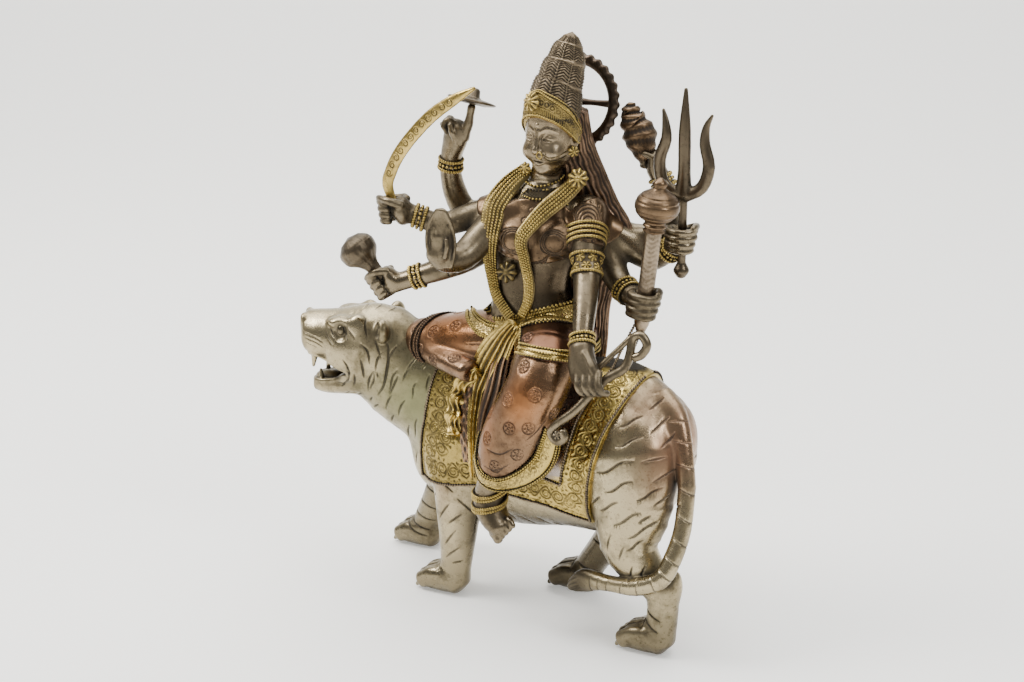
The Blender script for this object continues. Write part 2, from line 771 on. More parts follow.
# %% Stamps: small drawings that are laid on a surface
def circle(radius, count=12, x=0.0, y=0.0):
    turn = np.linspace(0, 2 * pi, count + 1)
    return np.column_stack([x + radius * np.cos(turn), y + radius * np.sin(turn)])


def rosette(radius, petals=6):
    """A ring round a middle bead, with a curl for each petal."""
    lines = [circle(radius, 18), circle(radius * 0.24, 7)]
    for k in range(petals):
        a = 2 * pi * k / petals
        petal = spiral(radius * 0.2, 0.8, 1, a)
        lines.append(petal + 0.60 * radius * np.array([cos(a), sin(a)]))
    return lines


def spiral(radius, turns=1.5, hand=1, start=0.0):
    t = np.linspace(0, 1, max(int(11 * turns), 8))
    a = start + hand * 2 * pi * turns * t
    r = radius * (1 - 0.86 * t)
    return np.column_stack([r * np.cos(a), r * np.sin(a)])


def laid(block, centre, lines, size, turn=0.0):
    """Puts a stamp's lines on a block's surface. `size` is the wire's width and height."""
    centre = block.settle(np.array([centre]), 8)[0]
    out = block.slope(centre[None])[0]
    right = unit(np.cross(UP, out))
    above = np.cross(out, right)
    c, s = cos(turn), sin(turn)
    placed = []
    for line in lines:
        x = c * line[:, 0] - s * line[:, 1]
        y = s * line[:, 0] + c * line[:, 1]
        placed.append((block.settle(centre + x[:, None] * right + y[:, None] * above, 4), *size))
    return placed


def evenly(line, spacing):
    """Points at equal steps along a line."""
    before = np.concatenate([[0], np.cumsum(np.linalg.norm(np.diff(line, axis=0), axis=1))])
    wanted = np.arange(spacing / 2, before[-1], spacing)
    return np.column_stack([np.interp(wanted, before, line[:, k]) for k in range(3)])


def vine(block, line, spacing, width, size):
    """A wavy stem with a curl in each bend and small leaves, along a line on a surface."""
    nodes = evenly(line, spacing)
    lines = []
    stem = []
    for k, node in enumerate(nodes):
        ahead = nodes[min(k + 1, len(nodes) - 1)] - nodes[max(k - 1, 0)]
        out = block.slope(node[None])[0]
        ahead = unit(ahead - out * (ahead @ out))
        aside = np.cross(out, ahead)
        hand = 1 if k % 2 else -1
        middle = node + aside * hand * 0.06 * width
        turn = lambda drawn: block.settle(middle + drawn[:, :1] * ahead + drawn[:, 1:] * aside, 4)
        lines.append((turn(spiral(0.34 * width, 2.3, hand, -hand * pi / 2)), *size))
        for a in np.linspace(0.05, 1.25, 7) * pi:
            leaf = np.array([(0.39, 0.0), (0.47, 0.06), (0.53, 0.0)]) * width
            c, s = cos(hand * a), sin(hand * a)
            drawn = np.column_stack([c * leaf[:, 0] - s * leaf[:, 1], s * leaf[:, 0] + c * leaf[:, 1]])
            lines.append((turn(drawn), *size))
        stem.append(node - aside * hand * 0.36 * width)
        stem.append(node + ahead * 0.5 * spacing)
    lines.append((block.settle(curve_through(stem, 5), 4), *size))
    return lines


# %% How hidden each point is: the skin of an open rib reads 0, the bottom of a fold reads 1
def hollows(block, points, normals, reach=3.0):
    hidden = np.zeros(len(points))
    total = 0.0
    for k, far in enumerate((0.4, 1.0, 2.0)):
        weight = 0.6 ** k
        away = reach * far
        hidden += weight * np.clip(1 - block.at(points + normals * away) / away, 0, 1)
        total += weight
    return np.clip(hidden / total, 0, 1)


# %% From a block to a finished skin
MOST_TRIANGLES = {
    "tiger_front": 92000, "tiger_rear": 92000, "rider_skin": 86000, "saddle_cloth": 120000, "skirt": 70000,
    "hip_cloth": 18000, "bodice": 42000, "head": 42000, "tiara": 24000, "trident_solid": 12000,
    "sword_blade": 22000,
}
CUT_SPREAD = 1.2
WIRE_SHADE = 0.6
MARK_MARGIN = 0.5


def near_lines(points, lines, margin):
    """Which points lie within a margin of any line."""
    found = np.zeros(len(points), bool)
    for near, gap, _, width, _ in near_each(points, lines, 0.5, margin):
        found[near] |= gap < 0.5 * width + margin
    return found


def refined(points, faces, chosen):
    """Halves the edges between chosen points, and splits the triangles beside them to match."""
    edges = np.sort(np.vstack([faces[:, [0, 1]], faces[:, [1, 2]], faces[:, [2, 0]]]), axis=1)
    codes, back = np.unique(edges[:, 0] * len(points) + edges[:, 1], return_inverse=True)
    a, b = codes // len(points), codes % len(points)
    split = chosen[a] & chosen[b]
    number = np.where(split, len(points) + np.cumsum(split) - 1, -1)
    halfway = (points[a[split]] + points[b[split]]) / 2
    between = number[back].reshape(3, len(faces)).T
    made = [faces[(between < 0).all(1)]]
    for turn in range(3):
        corner = np.roll(faces, -turn, axis=1)
        mid = np.roll(between, -turn, axis=1)
        one = (mid[:, 0] >= 0) & (mid[:, 1] < 0) & (mid[:, 2] < 0)
        p, q, r = corner[one].T
        s = mid[one, 0]
        made += [np.column_stack([p, s, r]), np.column_stack([s, q, r])]
        two = (mid[:, 0] >= 0) & (mid[:, 1] >= 0) & (mid[:, 2] < 0)
        p, q, r = corner[two].T
        s, t = mid[two, 0], mid[two, 1]
        made += [np.column_stack([s, q, t]), np.column_stack([p, s, t]), np.column_stack([p, t, r])]
    three = (between >= 0).all(1)
    p, q, r = faces[three].T
    s, t, u = between[three].T
    made += [np.column_stack(c) for c in ((p, s, u), (s, q, t), (u, t, r), (s, t, u))]
    return np.vstack([points, halfway]), np.vstack(made)


def hollow_skin(name, block, reach=3.0, cuts=(), wires=()):
    """Meshes a block, sinks its cuts, raises its wires, thins it and paints how dark each point is."""
    points, faces = block.skin()
    marks = [*cuts, *wires]
    if marks:
        points, faces = refined(points, faces, near_lines(points, marks, MARK_MARGIN))
    out = normals_of(points, faces)
    sunk = cut_depth(points, cuts) if cuts else 0.0
    rise = relief(points, wires)[0] if wires else 0.0
    points = points + out * (rise - sunk + np.zeros(len(points)))[:, None]
    piece = thinned(new_piece(name, points, faces), MOST_TRIANGLES[name])
    places = figure_points(piece)
    hidden = hollows(block, places, vertex_rows(piece, "normal"), reach)
    cut = np.zeros(len(places))
    if cuts:
        cut = np.maximum(cut, cut_depth(places, [(line, width * CUT_SPREAD, 1.0) for line, width, _ in cuts]))
    if wires:
        rise, shade = relief(places, wires)
        cut = np.maximum(cut, shade * WIRE_SHADE)
        hidden = hidden * (1 - np.clip(rise / max(height for _, _, height in wires), 0, 1))
    paint(piece, "cut", cut)
    paint(piece, "hollow", hidden)
    return piece


# %% The tiger's stripes
STRIPE_WIDTH = 1.45
STRIPE_DEPTH = 0.65


def stripes(block, side, rows):
    """Rows are x, z, length and angle of each stroke in side view, then its bow and sway if it has them."""
    lines = [from_side(block, stroke(row[:2], *row[2:]), side) for row in rows]
    return [(line, STRIPE_WIDTH, STRIPE_DEPTH) for line in lines if line is not None]


def leg_rings(block, rows, shares, start, stop, slant):
    """Slanting cuts round a leg, from one angle to another at each share of its length."""
    leg = Limb(rows)
    cuts = []
    for share in shares:
        turn = np.linspace(start, stop, 9)
        line = [leg.point(np.clip(share + slant * (k / 8 - 0.5), 0, 1), radians(a), 1.0)
                for k, a in enumerate(turn)]
        cuts.append((block.settle(line, 8), STRIPE_WIDTH, STRIPE_DEPTH))
    return cuts


HAUNCH = [
    (51, 107, 12, 26, 0, 0.5), (46, 95, 21, 25, 0, 1.2), (63, 100, 8, 10, 0.3), (49, 86, 16, 30, 0, 0.8),
    (63, 84, 11, 32, 0, 0.5), (44, 75, 13, 34, 0, 0.4), (54, 71, 15, 33, 0, 0.6), (61, 66, 15, 37, 0, 0.5),
    (68, 81, 8, 42), (36, 76, 8, 44), (45, 57, 9, 77, 0.4), (52, 53, 8, 72, 0.3), (57, 44, 7, 82, 0.3),
    (62, 45, 6, 76), (49, 115, 9, 33, 0, 0.4), (73, 77, 8, 40), (36, 62, 7, 84, 0.3), (31, 70, 6, 86),
    (58, 58, 9, 40, 0, 0.4), (67, 92, 7, 36), (61, 114, 8, 58, 0.3), (56, 122, 6, 50), (66, 108, 6, 66),
    (42, 124, 7, 34), (68, 56, 8, 48), (33, 106, 9, 26), (30, 84, 9, 32), (62, 72, 6, 36),
]
SHOULDER = [
    (-52, 63, 11, -28, 0.3), (-62, 52, 10, 62, 0.5), (-53, 49, 12, 54, 0.3), (-47, 46, 9, 42),
    (-50, 35, 12, 54, 0.2), (-50, 26, 11, 42, 0.2), (-48, 21, 5, 18), (-42, 53, 11, -52, 0.4),
    (-60, 66, 9, 58, 0.3), (-56, 74, 8, -36),
]
NECK_CUTS = [
    (-95, 111, 13, 66, 0.9), (-76, 117, 8, 64, 0.4), (-72, 109, 9, 75, 0.4, 0.3),
    (-83, 112, 14, 70, 0.7, 0.3), (-80, 98, 12, 60, 0.6), (-65, 114, 7, 82, 0.3), (-87, 100, 11, 58, 0.5),
    (-65, 102, 9, 76, 0.5), (-74, 122, 9, 60, 0.4), (-96, 96, 6, 34, 0.2), (-73, 88, 12, 72, 0.5, 0.3),
    (-66, 90, 10, 80, 0.4), (-80, 84, 10, 62, 0.4), (-70, 76, 12, 78, 0.4), (-76, 70, 8, 70, 0.3),
    (-88, 90, 7, 50, 0.3), (-90, 122, 10, 74, 0.5), (-67, 124, 8, 70), (-63, 80, 8, 84, 0.3),
    (-84, 126, 9, 68, 0.3),
]
FLANK = [(-30 + 9 * k, 49 + 2 * (k % 2), 7, -52 + 4 * k, 0.3, 0) for k in range(7)]
FAR_BODY = [(-60 + 9.5 * k, 96 - 3 * (k % 2), 15 - 3 * (k % 2), 70 - 4 * k, 0.4, 0.6) for k in range(12)]
LEG_RINGS = {
    "far_fore": ((0.30, 0.42, 0.54, 0.66, 0.78, 0.88), 130, 250, 0.07),
    "near_hind": ((0.80, 0.88), 250, 160, 0.05),
    "far_hind": ((0.20, 0.32, 0.44, 0.56, 0.68, 0.80), 50, -60, 0.06),
}
TAIL_RINGS = [0.10 + 0.052 * k for k in range(14)]


def head_cuts(block):
    """Whiskers, brow, cheeks and ruff, on both sides of the skull. A place is forwards, sideways and up."""
    drawn = [
        ([(11.2, 18.5, -1.8), (9, 18, -5.3), (8.4, 17.4, -9.6), (9.8, 16, -14), (13.6, 12, -18)], 1.7),
        ([(5.6, 17.4, -9.4), (5.8, 15.8, -13.2), (7.2, 13.6, -17)], 1.3),
        ([(1.7, 19, -1), (0.9, 18.6, -5.6), (0.8, 17, -11.4)], 1.7),
        ([(-4.6, 18.2, -7.6), (-4.4, 17.2, -12), (-1.6, 15, -18)], 1.4),
        ([(-6.4, 18.4, -7.4), (-6.6, 18, -10.4)], 1.1),
        ([(2, 18.2, 6.8), (-1.2, 18.9, 4.6), (-2.4, 19, 1.6), (-2.8, 18.8, -2.7)], 1.6),
        ([(2.5, 12.4, 17.2), (0, 15.3, 14), (-1.6, 17.2, 10.2)], 1.5),
        ([(-5.8, 17.6, 9), (-7.4, 18.2, 4.2), (-8.7, 18.7, 0.3)], 1.3),
        ([(-11.4, 17.5, 8.4), (-12.4, 17.8, 4.4), (-12.3, 18.7, -1.6), (-11, 18.7, -9), (-9.2, 17.8, -15.2),
          (-5.9, 15.4, -20.5)], 2.0),
        ([(10, 10, -22.5), (6.4, 11, -21.4)], 1.2),
        ([(-17.5, 19.6, -8.4), (-15.2, 19.2, -13.4), (-12.8, 18, -18.8)], 1.6),
        ([(21, 12.2, 11.2), (19.6, 13.9, 8.1), (16.5, 16.2, 5)], 1.2),
        ([(19, 12.8, 13.3), (17.3, 14, 10.3), (14, 16.5, 7)], 1.2),
        ([(10.9, 15, 14.4), (10.2, 15.8, 11.3), (8.2, 17.4, 7.9)], 1.2),
        ([(7.6, 13.9, 16), (7.2, 15.2, 12.9), (4.8, 17.2, 10)], 1.2),
        ([(15.5, 11, 17.4), (12, 12.4, 18.6), (9, 12.8, 18.4)], 1.1),
        ([(-8, 17.6, 19), (-5.6, 18.4, 15.6), (-6.6, 19, 11), (-10, 19, 9.6)], 1.2),
        ([(33, 9.6, 9), (27, 12.4, 7.4), (22, 13, 4.6)], 0.8),
        ([(32, 10.4, 6.6), (26.4, 12.8, 4.8), (22, 13.4, 2)], 0.8),
        ([(31.4, 10.8, 4.2), (26, 12.8, 2.2)], 0.8),
        ([(36.6, 2.4, 10), (35.6, 1.6, 5), (33.6, 0.4, -2)], 1.1),
        ([(13, 9, -24), (10, 11, -21)], 1.1), ([(7, 9, -25), (4, 12, -22)], 1.1),
        ([(0, 11, -26), (-2, 13.6, -23)], 1.2),
    ]
    cuts = []
    for line, width in drawn:
        for side in (-1, 1):
            path = [on_head(forward, near * side, up) for forward, near, up in line]
            path = curve_through(path, 4) if len(path) > 2 else path
            cuts.append((block.settle(path, 6), width, 0.45 * width))
    for k in range(3):
        brow = [on_head(4 - 7 * k, -6, 23), on_head(2 - 7 * k, 0, 23.5), on_head(4 - 7 * k, 6, 23)]
        cuts.append((block.settle(curve_through(brow, 4), 6), 1.2, 0.4))
    return cuts


def tiger_cuts(block):
    cuts = stripes(block, -1, HAUNCH + SHOULDER + NECK_CUTS + FLANK)
    cuts += stripes(block, 1, HAUNCH[:-6] + NECK_CUTS + FAR_BODY)
    for name, (shares, start, stop, slant) in LEG_RINGS.items():
        cuts += leg_rings(block, LEGS[name], shares, start, stop, slant)
        cuts += leg_rings(block, LEGS[name], shares[1::2], start + 170, stop + 190, -slant)
    tail = Limb(TAIL, steps=4)
    for share in TAIL_RINGS:
        ring = [tail.point(share + 0.008 * sin(radians(a)), radians(a), 0.3) for a in range(0, 250, 25)]
        cuts.append((block.settle(ring, 5), 1.1, 0.45))
    for k in range(18):
        angle = radians(20 * k)
        hairs = [tail.point(s, angle + 0.2 * sin(9 * s + k), 0.2) for s in (0.86, 0.89, 0.92, 0.95, 0.98)]
        cuts.append((block.settle(hairs, 5), 0.95, 0.45))
    for x, y in PAWS.values():
        cuts += toe_cuts(block, x, y)
    return cuts + head_cuts(block)


# %% Skin of the tiger, in a front and a rear piece that overlap under the saddle cloth
HIDE_SEAM = -18.0
HIDE_LAP = 1.2


def spot(points, x, z, wide, tall):
    """A soft round patch in side view, 1 in its middle."""
    return np.exp(-((points[:, 0] - x) / wide) ** 2 - ((points[:, 2] - z) / tall) ** 2)


tiger_marks = tiger_cuts(tiger_form)
hide_pieces = []
for name, first, last in (("tiger_front", -200.0, HIDE_SEAM + HIDE_LAP),
                          ("tiger_rear", HIDE_SEAM - HIDE_LAP, 200.0)):
    half = tiger_form.part((first, -100, -100), (last, 100, 200)).closed()
    own = [mark for mark in tiger_marks if first < mark[0][:, 0].mean() < last]
    piece = hollow_skin(name, half, 4.0, cuts=own)
    places = figure_points(piece)
    x, y, z = places.T
    paint(piece, "olive", 0.75 * spot(places, -68, 100, 15, 30) + 0.5 * spot(places, -86, 100, 20, 16))
    warm = ((0.8, 70, 104, 13, 22), (0.35, 50, 122, 14, 10), (0.25, -58, 64, 10, 12))
    paint(piece, "warm", sum(strength * spot(places, *rest) for strength, *rest in warm))
    low_parts = 0.5 * soft_step((40 - z) / 34)
    under = 0.9 * soft_step((62 - z) / 14) * soft_step((46 - np.abs(x + 4)) / 12)
    inner = 0.55 * soft_step((y + 10) / 14) * soft_step((60 - z) / 20)
    mouth = 1.2 * np.exp(-((places - on_head(15, 0, -12)) ** 2).sum(1) / 11.0 ** 2)
    eyes = sum(0.9 * np.exp(-((places - on_head(13, 14.5 * side, 12.4)) ** 2).sum(1) / 4.2 ** 2)
               for side in (-1, 1))
    paint(piece, "soot", np.clip(np.maximum.reduce([low_parts, under, inner, mouth, eyes]), 0, 1))
    hide_pieces.append(piece)
print("tiger carved after", round(time.time() - started, 1), "s")

# %% [markdown]
# ## Metals as node trees
# A small class lets shader maths be written as ordinary sums: it wraps a socket, and adding or
# multiplying it adds a Math node. The metals share one idea. Cast metal is bright where hands rub
# it, and dark where wax, polish and dust stay in the cuts, so each finish mixes a bright metal
# with a dull, dark patina by how deep a point lies.

# %% Shader sums
class Term:
    """A number that varies over a surface, as a socket of a node tree."""

    def __init__(self, tree, socket):
        self.tree = tree
        self.socket = socket

    def sum(self, operation, *others):
        node = self.tree.nodes.new("ShaderNodeMath")
        node.operation = operation
        for place, value in zip(node.inputs, (self, *others)):
            if isinstance(value, Term):
                self.tree.links.new(value.socket, place)
            else:
                place.default_value = value
        return Term(self.tree, node.outputs[0])

    def __add__(self, other):
        return self.sum("ADD", other)

    __radd__ = __add__

    def __mul__(self, other):
        return self.sum("MULTIPLY", other)

    __rmul__ = __mul__

    def __sub__(self, other):
        return self.sum("SUBTRACT", other)

    def __rsub__(self, other):
        return (self * -1.0) + other

    def clamped(self):
        return self.sum("MAXIMUM", 0.0).sum("MINIMUM", 1.0)


class Finish:
    """One material, built node by node."""

    def __init__(self, name):
        self.material = bpy.data.materials.new(name)
        self.material.use_nodes = True
        self.tree = self.material.node_tree
        self.shader = self.tree.nodes["Principled BSDF"]

    def node(self, kind, settings=None, **inputs):
        """Adds a node. Settings come first, then a value or a link for each named input."""
        node = self.tree.nodes.new(kind)
        for key, value in (settings or {}).items():
            setattr(node, key, value)
        for key, value in inputs.items():
            place = node.inputs[int(key[1:]) if key[0] == "_" else key.replace("_", " ")]
            if hasattr(value, "socket"):
                self.tree.links.new(value.socket, place)
            elif isinstance(value, bpy.types.NodeSocket):
                self.tree.links.new(value, place)
            else:
                place.default_value = value
        return node

    def term(self, socket):
        return Term(self.tree, socket)

    def noise(self, scale, detail=3.0, roughness=0.55, stretch=(1, 1, 1)):
        where = self.node("ShaderNodeTexCoord").outputs["Object"]
        moved = self.node("ShaderNodeMapping", Vector=where, Scale=stretch).outputs[0]
        made = self.node("ShaderNodeTexNoise", Vector=moved, Scale=scale, Detail=detail, Roughness=roughness)
        return self.term(made.outputs["Fac"])

    def attribute(self, name):
        return self.term(self.node("ShaderNodeAttribute", {"attribute_name": name}).outputs["Fac"])

    def ramp(self, factor, *stops):
        node = self.node("ShaderNodeValToRGB", Fac=factor)
        ramp = node.color_ramp
        while len(ramp.elements) < len(stops):
            ramp.elements.new(0.5)
        for element, (place, shade) in zip(ramp.elements, stops):
            element.position = place
            element.color = (*shade, 1.0) if isinstance(shade, tuple) else (shade, shade, shade, 1.0)
        return node.outputs["Color"]

    def mix(self, factor, a, b):
        node = self.node("ShaderNodeMix", {"data_type": "RGBA"}, _0=factor)
        for place, shade in ((node.inputs[6], a), (node.inputs[7], b)):
            if isinstance(shade, bpy.types.NodeSocket):
                self.tree.links.new(shade, place)
            else:
                place.default_value = (*shade, 1.0)
        return node.outputs[2]

    def link(self, socket, name):
        self.tree.links.new(socket.socket if hasattr(socket, "socket") else socket, self.shader.inputs[name])


# %% The shared metal
GRAIN_HEIGHT = 0.12 * MM


def metal(name, bright, dull, patina, tints=(), rubbed=0.30, dulled=0.60, haze=0.5):
    """Bright where it is rubbed, dull in broad clouds, and patina in the cuts."""
    finish = Finish(name)
    deep = finish.attribute("cut")
    hollow = finish.attribute("hollow")
    clouds = finish.noise(30.0, 5.0, 0.6)
    specks = finish.noise(750.0, 2.0, 0.7)
    fine = finish.noise(2600.0, 3.0, 0.6)
    mottle = finish.noise(170.0, 4.0, 0.65)
    worn = finish.term(finish.ramp(clouds, (0.40, 0.0), (0.60, 1.0)))
    patches = finish.term(finish.ramp(mottle, (0.47, 0.0), (0.66, 1.0)))
    spotted = finish.term(finish.ramp(specks, (0.56, 0.0), (0.72, 1.0)))
    soiled = (hollow * 1.5 + worn * haze + patches * 0.45 + spotted * 0.5 - 0.3).clamped()
    colour = finish.mix(soiled, bright, dull)
    for where, shade in tints:
        colour = finish.mix(finish.attribute(where).clamped(), colour, shade)
    dark = (deep * 1.15 + (hollow - 0.22) * 1.25 + patches * spotted * 0.35).clamped()
    colour = finish.mix(dark, colour, patina)
    finish.link(colour, "Base Color")
    finish.link((soiled * (dulled - rubbed) + dark * 0.25 + fine * 0.1 + (rubbed - 0.05)).clamped(),
                "Roughness")
    finish.link((1.0 - dark * 0.8).clamped(), "Metallic")
    bump = finish.node("ShaderNodeBump", Height=fine + specks * 0.8, Strength=0.4, Distance=GRAIN_HEIGHT)
    finish.link(bump.outputs[0], "Normal")
    return finish.material


# %% Finishes
HIDE_TINTS = (("olive", (0.17, 0.165, 0.085)), ("warm", (0.30, 0.165, 0.10)), ("soot", (0.062, 0.050, 0.033)))
NICKEL = metal("antique nickel", (0.385, 0.32, 0.195), (0.14, 0.114, 0.067), (0.018, 0.014, 0.008),
               HIDE_TINTS, 0.24, 0.5, 0.75)
SKIN = metal("dark nickel", (0.185, 0.148, 0.095), (0.075, 0.060, 0.039), (0.012, 0.010, 0.007),
             (("warm", (0.066, 0.048, 0.031)),), 0.27, 0.6, 0.7)
SHAFT_NICKEL = metal("engraved nickel", (0.29, 0.225, 0.155), (0.12, 0.092, 0.063), (0.014, 0.010, 0.007))
FACE_METAL = metal("face bronze", (0.30, 0.235, 0.150), (0.12, 0.094, 0.060), (0.014, 0.010, 0.007),
                   rubbed=0.24, haze=0.6)
CROWN_BRONZE = metal("crown bronze", (0.215, 0.165, 0.105), (0.085, 0.065, 0.042), (0.012, 0.009, 0.006))
BRASS = metal("antique brass", (0.52, 0.375, 0.115), (0.20, 0.145, 0.048), (0.016, 0.011, 0.005), rubbed=0.24)
OLD_BRASS = metal("dark brass", (0.22, 0.165, 0.068), (0.085, 0.063, 0.028), (0.012, 0.009, 0.005))
COPPER_TINTS = (("warm", (0.34, 0.145, 0.058)), ("soot", (0.085, 0.050, 0.028)))
COPPER = metal("copper", (0.225, 0.138, 0.080), (0.088, 0.055, 0.034), (0.012, 0.008, 0.006), COPPER_TINTS,
               0.23, 0.5, 0.75)
HIP_COPPER = metal("dark copper", (0.15, 0.075, 0.044), (0.06, 0.034, 0.021), (0.012, 0.008, 0.005), haze=0.7)
BRONZE = metal("bronze", (0.165, 0.108, 0.062), (0.066, 0.045, 0.028), (0.010, 0.007, 0.004), haze=0.7)
HAIR_COPPER = metal("hair copper", (0.24, 0.155, 0.100), (0.095, 0.063, 0.042), (0.010, 0.007, 0.005),
                    haze=0.7)
ROPE_COPPER = metal("rope copper", (0.27, 0.21, 0.14), (0.10, 0.076, 0.050), (0.012, 0.008, 0.006))
DARK_BRONZE = metal("dark bronze", (0.115, 0.090, 0.060), (0.052, 0.042, 0.029), (0.010, 0.008, 0.006))
BLACKENED = metal("blackened bronze", (0.075, 0.055, 0.040), (0.035, 0.027, 0.021), (0.009, 0.007, 0.005))
CLOTH_TINTS = (("soot", (0.135, 0.098, 0.032)), ("panel", (0.30, 0.25, 0.215)))
CLOTH_BRASS = metal("cloth brass", (0.50, 0.365, 0.105), (0.20, 0.150, 0.050), (0.016, 0.011, 0.005),
                    CLOTH_TINTS, 0.24)

for piece in hide_pieces:
    finished(piece, NICKEL, "tiger")

# %% [markdown]
# ## Things that follow a path
# Beads, twisted ropes, bangles and fringes are one small shape repeated along a line. One Geometry
# Nodes tree does all of them: it walks along the line in equal steps, stands a bead on each step,
# turns it by the line's direction and the skin's outward direction, and leans it when it should
# look like a strand of a rope.

# %% The tree of beads
BEAD_SPREAD = 0.06
BEAD_SEED = 7
BEAD_INPUTS = (
    ("Spacing", "NodeSocketFloat", 1.5), ("Half Length", "NodeSocketFloat", 0.8),
    ("Half Width", "NodeSocketFloat", 0.8), ("Half Height", "NodeSocketFloat", 0.8),
    ("Lean", "NodeSocketFloat", 0.0), ("Uneven", "NodeSocketFloat", BEAD_SPREAD),
    ("Seed", "NodeSocketInt", BEAD_SEED), ("Material", "NodeSocketMaterial", None),
)


def bead_tree():
    tree = bpy.data.node_groups.new("beads along a line", "GeometryNodeTree")
    tree.interface.new_socket("Geometry", in_out="INPUT", socket_type="NodeSocketGeometry")
    for name, kind, value in BEAD_INPUTS:
        place = tree.interface.new_socket(name, in_out="INPUT", socket_type=kind)
        if value is not None:
            place.default_value = value
    tree.interface.new_socket("Geometry", in_out="OUTPUT", socket_type="NodeSocketGeometry")
    source = tree.nodes.new("NodeGroupInput")

    def node(kind, settings=None, **inputs):
        made = tree.nodes.new(kind)
        for key, value in (settings or {}).items():
            setattr(made, key, value)
        for key, value in inputs.items():
            place = made.inputs[int(key[1:]) if key[0] == "_" else key.replace("_", " ")]
            if isinstance(value, bpy.types.NodeSocket):
                tree.links.new(value, place)
            else:
                place.default_value = value
        return made

    wanted = source.outputs
    line = node("GeometryNodeMeshToCurve", _0=wanted["Geometry"])
    steps = node("GeometryNodeResampleCurve", {"mode": "LENGTH"}, Curve=line.outputs[0],
                 Length=wanted["Spacing"])
    stood = node("GeometryNodeCurveToPoints", {"mode": "EVALUATED"}, Curve=steps.outputs[0])
    up = node("GeometryNodeInputNamedAttribute", {"data_type": "FLOAT_VECTOR"}, Name="up")
    frame_of = node("FunctionNodeAxesToRotation", {"primary_axis": "Z", "secondary_axis": "X"},
                    Primary_Axis=up.outputs[0], Secondary_Axis=stood.outputs["Tangent"])
    leaned = node("FunctionNodeAxisAngleToRotation", Axis=(0.0, 0.0, 1.0), Angle=wanted["Lean"])
    faced = node("FunctionNodeRotateRotation", {"rotation_space": "LOCAL"}, Rotation=frame_of.outputs[0],
                 Rotate_By=leaned.outputs[0])
    ball = node("GeometryNodeMeshUVSphere", Segments=6, Rings=4, Radius=1.0)
    place = node("GeometryNodeInputPosition")
    height = node("ShaderNodeSeparateXYZ", Vector=place.outputs[0])
    low = node("ShaderNodeMapRange", Value=height.outputs["Z"], _1=0.0, _2=0.9, _3=1.0, _4=0.0)
    shaded = node("GeometryNodeStoreNamedAttribute", {"data_type": "FLOAT", "domain": "POINT"},
                  Geometry=ball.outputs[0], Name="hollow", Value=low.outputs[0])
    smooth = node("GeometryNodeSetShadeSmooth", Geometry=shaded.outputs[0])
    size = node("ShaderNodeCombineXYZ", X=wanted["Half Length"], Y=wanted["Half Width"],
                Z=wanted["Half Height"])
    least = node("ShaderNodeMath", {"operation": "SUBTRACT"}, _0=1.0, _1=wanted["Uneven"])
    most = node("ShaderNodeMath", {"operation": "ADD"}, _0=1.0, _1=wanted["Uneven"])
    any_size = node("FunctionNodeRandomValue", {"data_type": "FLOAT"}, _2=least.outputs[0],
                    _3=most.outputs[0], Seed=wanted["Seed"])
    scale = node("ShaderNodeVectorMath", {"operation": "SCALE"}, _0=size.outputs[0],
                 Scale=any_size.outputs[1])
    stand = node("GeometryNodeInstanceOnPoints", Points=stood.outputs["Points"], Instance=smooth.outputs[0],
                 Rotation=faced.outputs[0], Scale=scale.outputs[0])
    real = node("GeometryNodeRealizeInstances", Geometry=stand.outputs[0])
    dressed = node("GeometryNodeSetMaterial", Geometry=real.outputs[0], Material=wanted["Material"])
    result = tree.nodes.new("NodeGroupOutput")
    tree.links.new(dressed.outputs[0], result.inputs[0])
    return tree


BEADS = bead_tree()


def beads(name, lines, material, spacing, size, lean=0.0, closed=False, node="goddess"):
    """Beads along lines, each a pair of lists: places and outward directions. Sizes are in millimetres."""
    points = np.vstack([line for line, _ in lines])
    ups = np.vstack([up for _, up in lines])
    edges = []
    start = 0
    for line, _ in lines:
        count = len(line)
        edges += [(start + k, start + k + 1) for k in range(count - 1)]
        if closed:
            edges.append((start + count - 1, start))
        start += count
    mesh = bpy.data.meshes.new(name)
    mesh.from_pydata(metres(points).tolist(), edges, [])
    layer = mesh.attributes.new("up", "FLOAT_VECTOR", "POINT")
    layer.data.foreach_set("vector", ups.astype(np.float32).ravel())
    piece = new_object(name, mesh)
    modifier = piece.modifiers.new("beads", "NODES")
    modifier.node_group = BEADS
    wanted = {
        "Spacing": spacing * MM,
        "Half Length": size[0] * MM, "Half Width": size[1] * MM, "Half Height": size[2] * MM,
        "Lean": radians(lean), "Uneven": BEAD_SPREAD, "Seed": BEAD_SEED, "Material": material,
    }
    for item in BEADS.interface.items_tree:
        if item.name in wanted and item.in_out == "INPUT":
            modifier[item.identifier] = wanted[item.name]
    return finished(baked(piece), material, node)


def merged(name, pieces):
    """Joins finished meshes into one piece."""
    bpy.ops.object.select_all(action="DESELECT")
    for piece in pieces:
        piece.select_set(True)
    bpy.context.view_layer.objects.active = pieces[0]
    bpy.ops.object.join()
    pieces[0].name = name
    pieces[0].data.name = name
    return pieces[0]


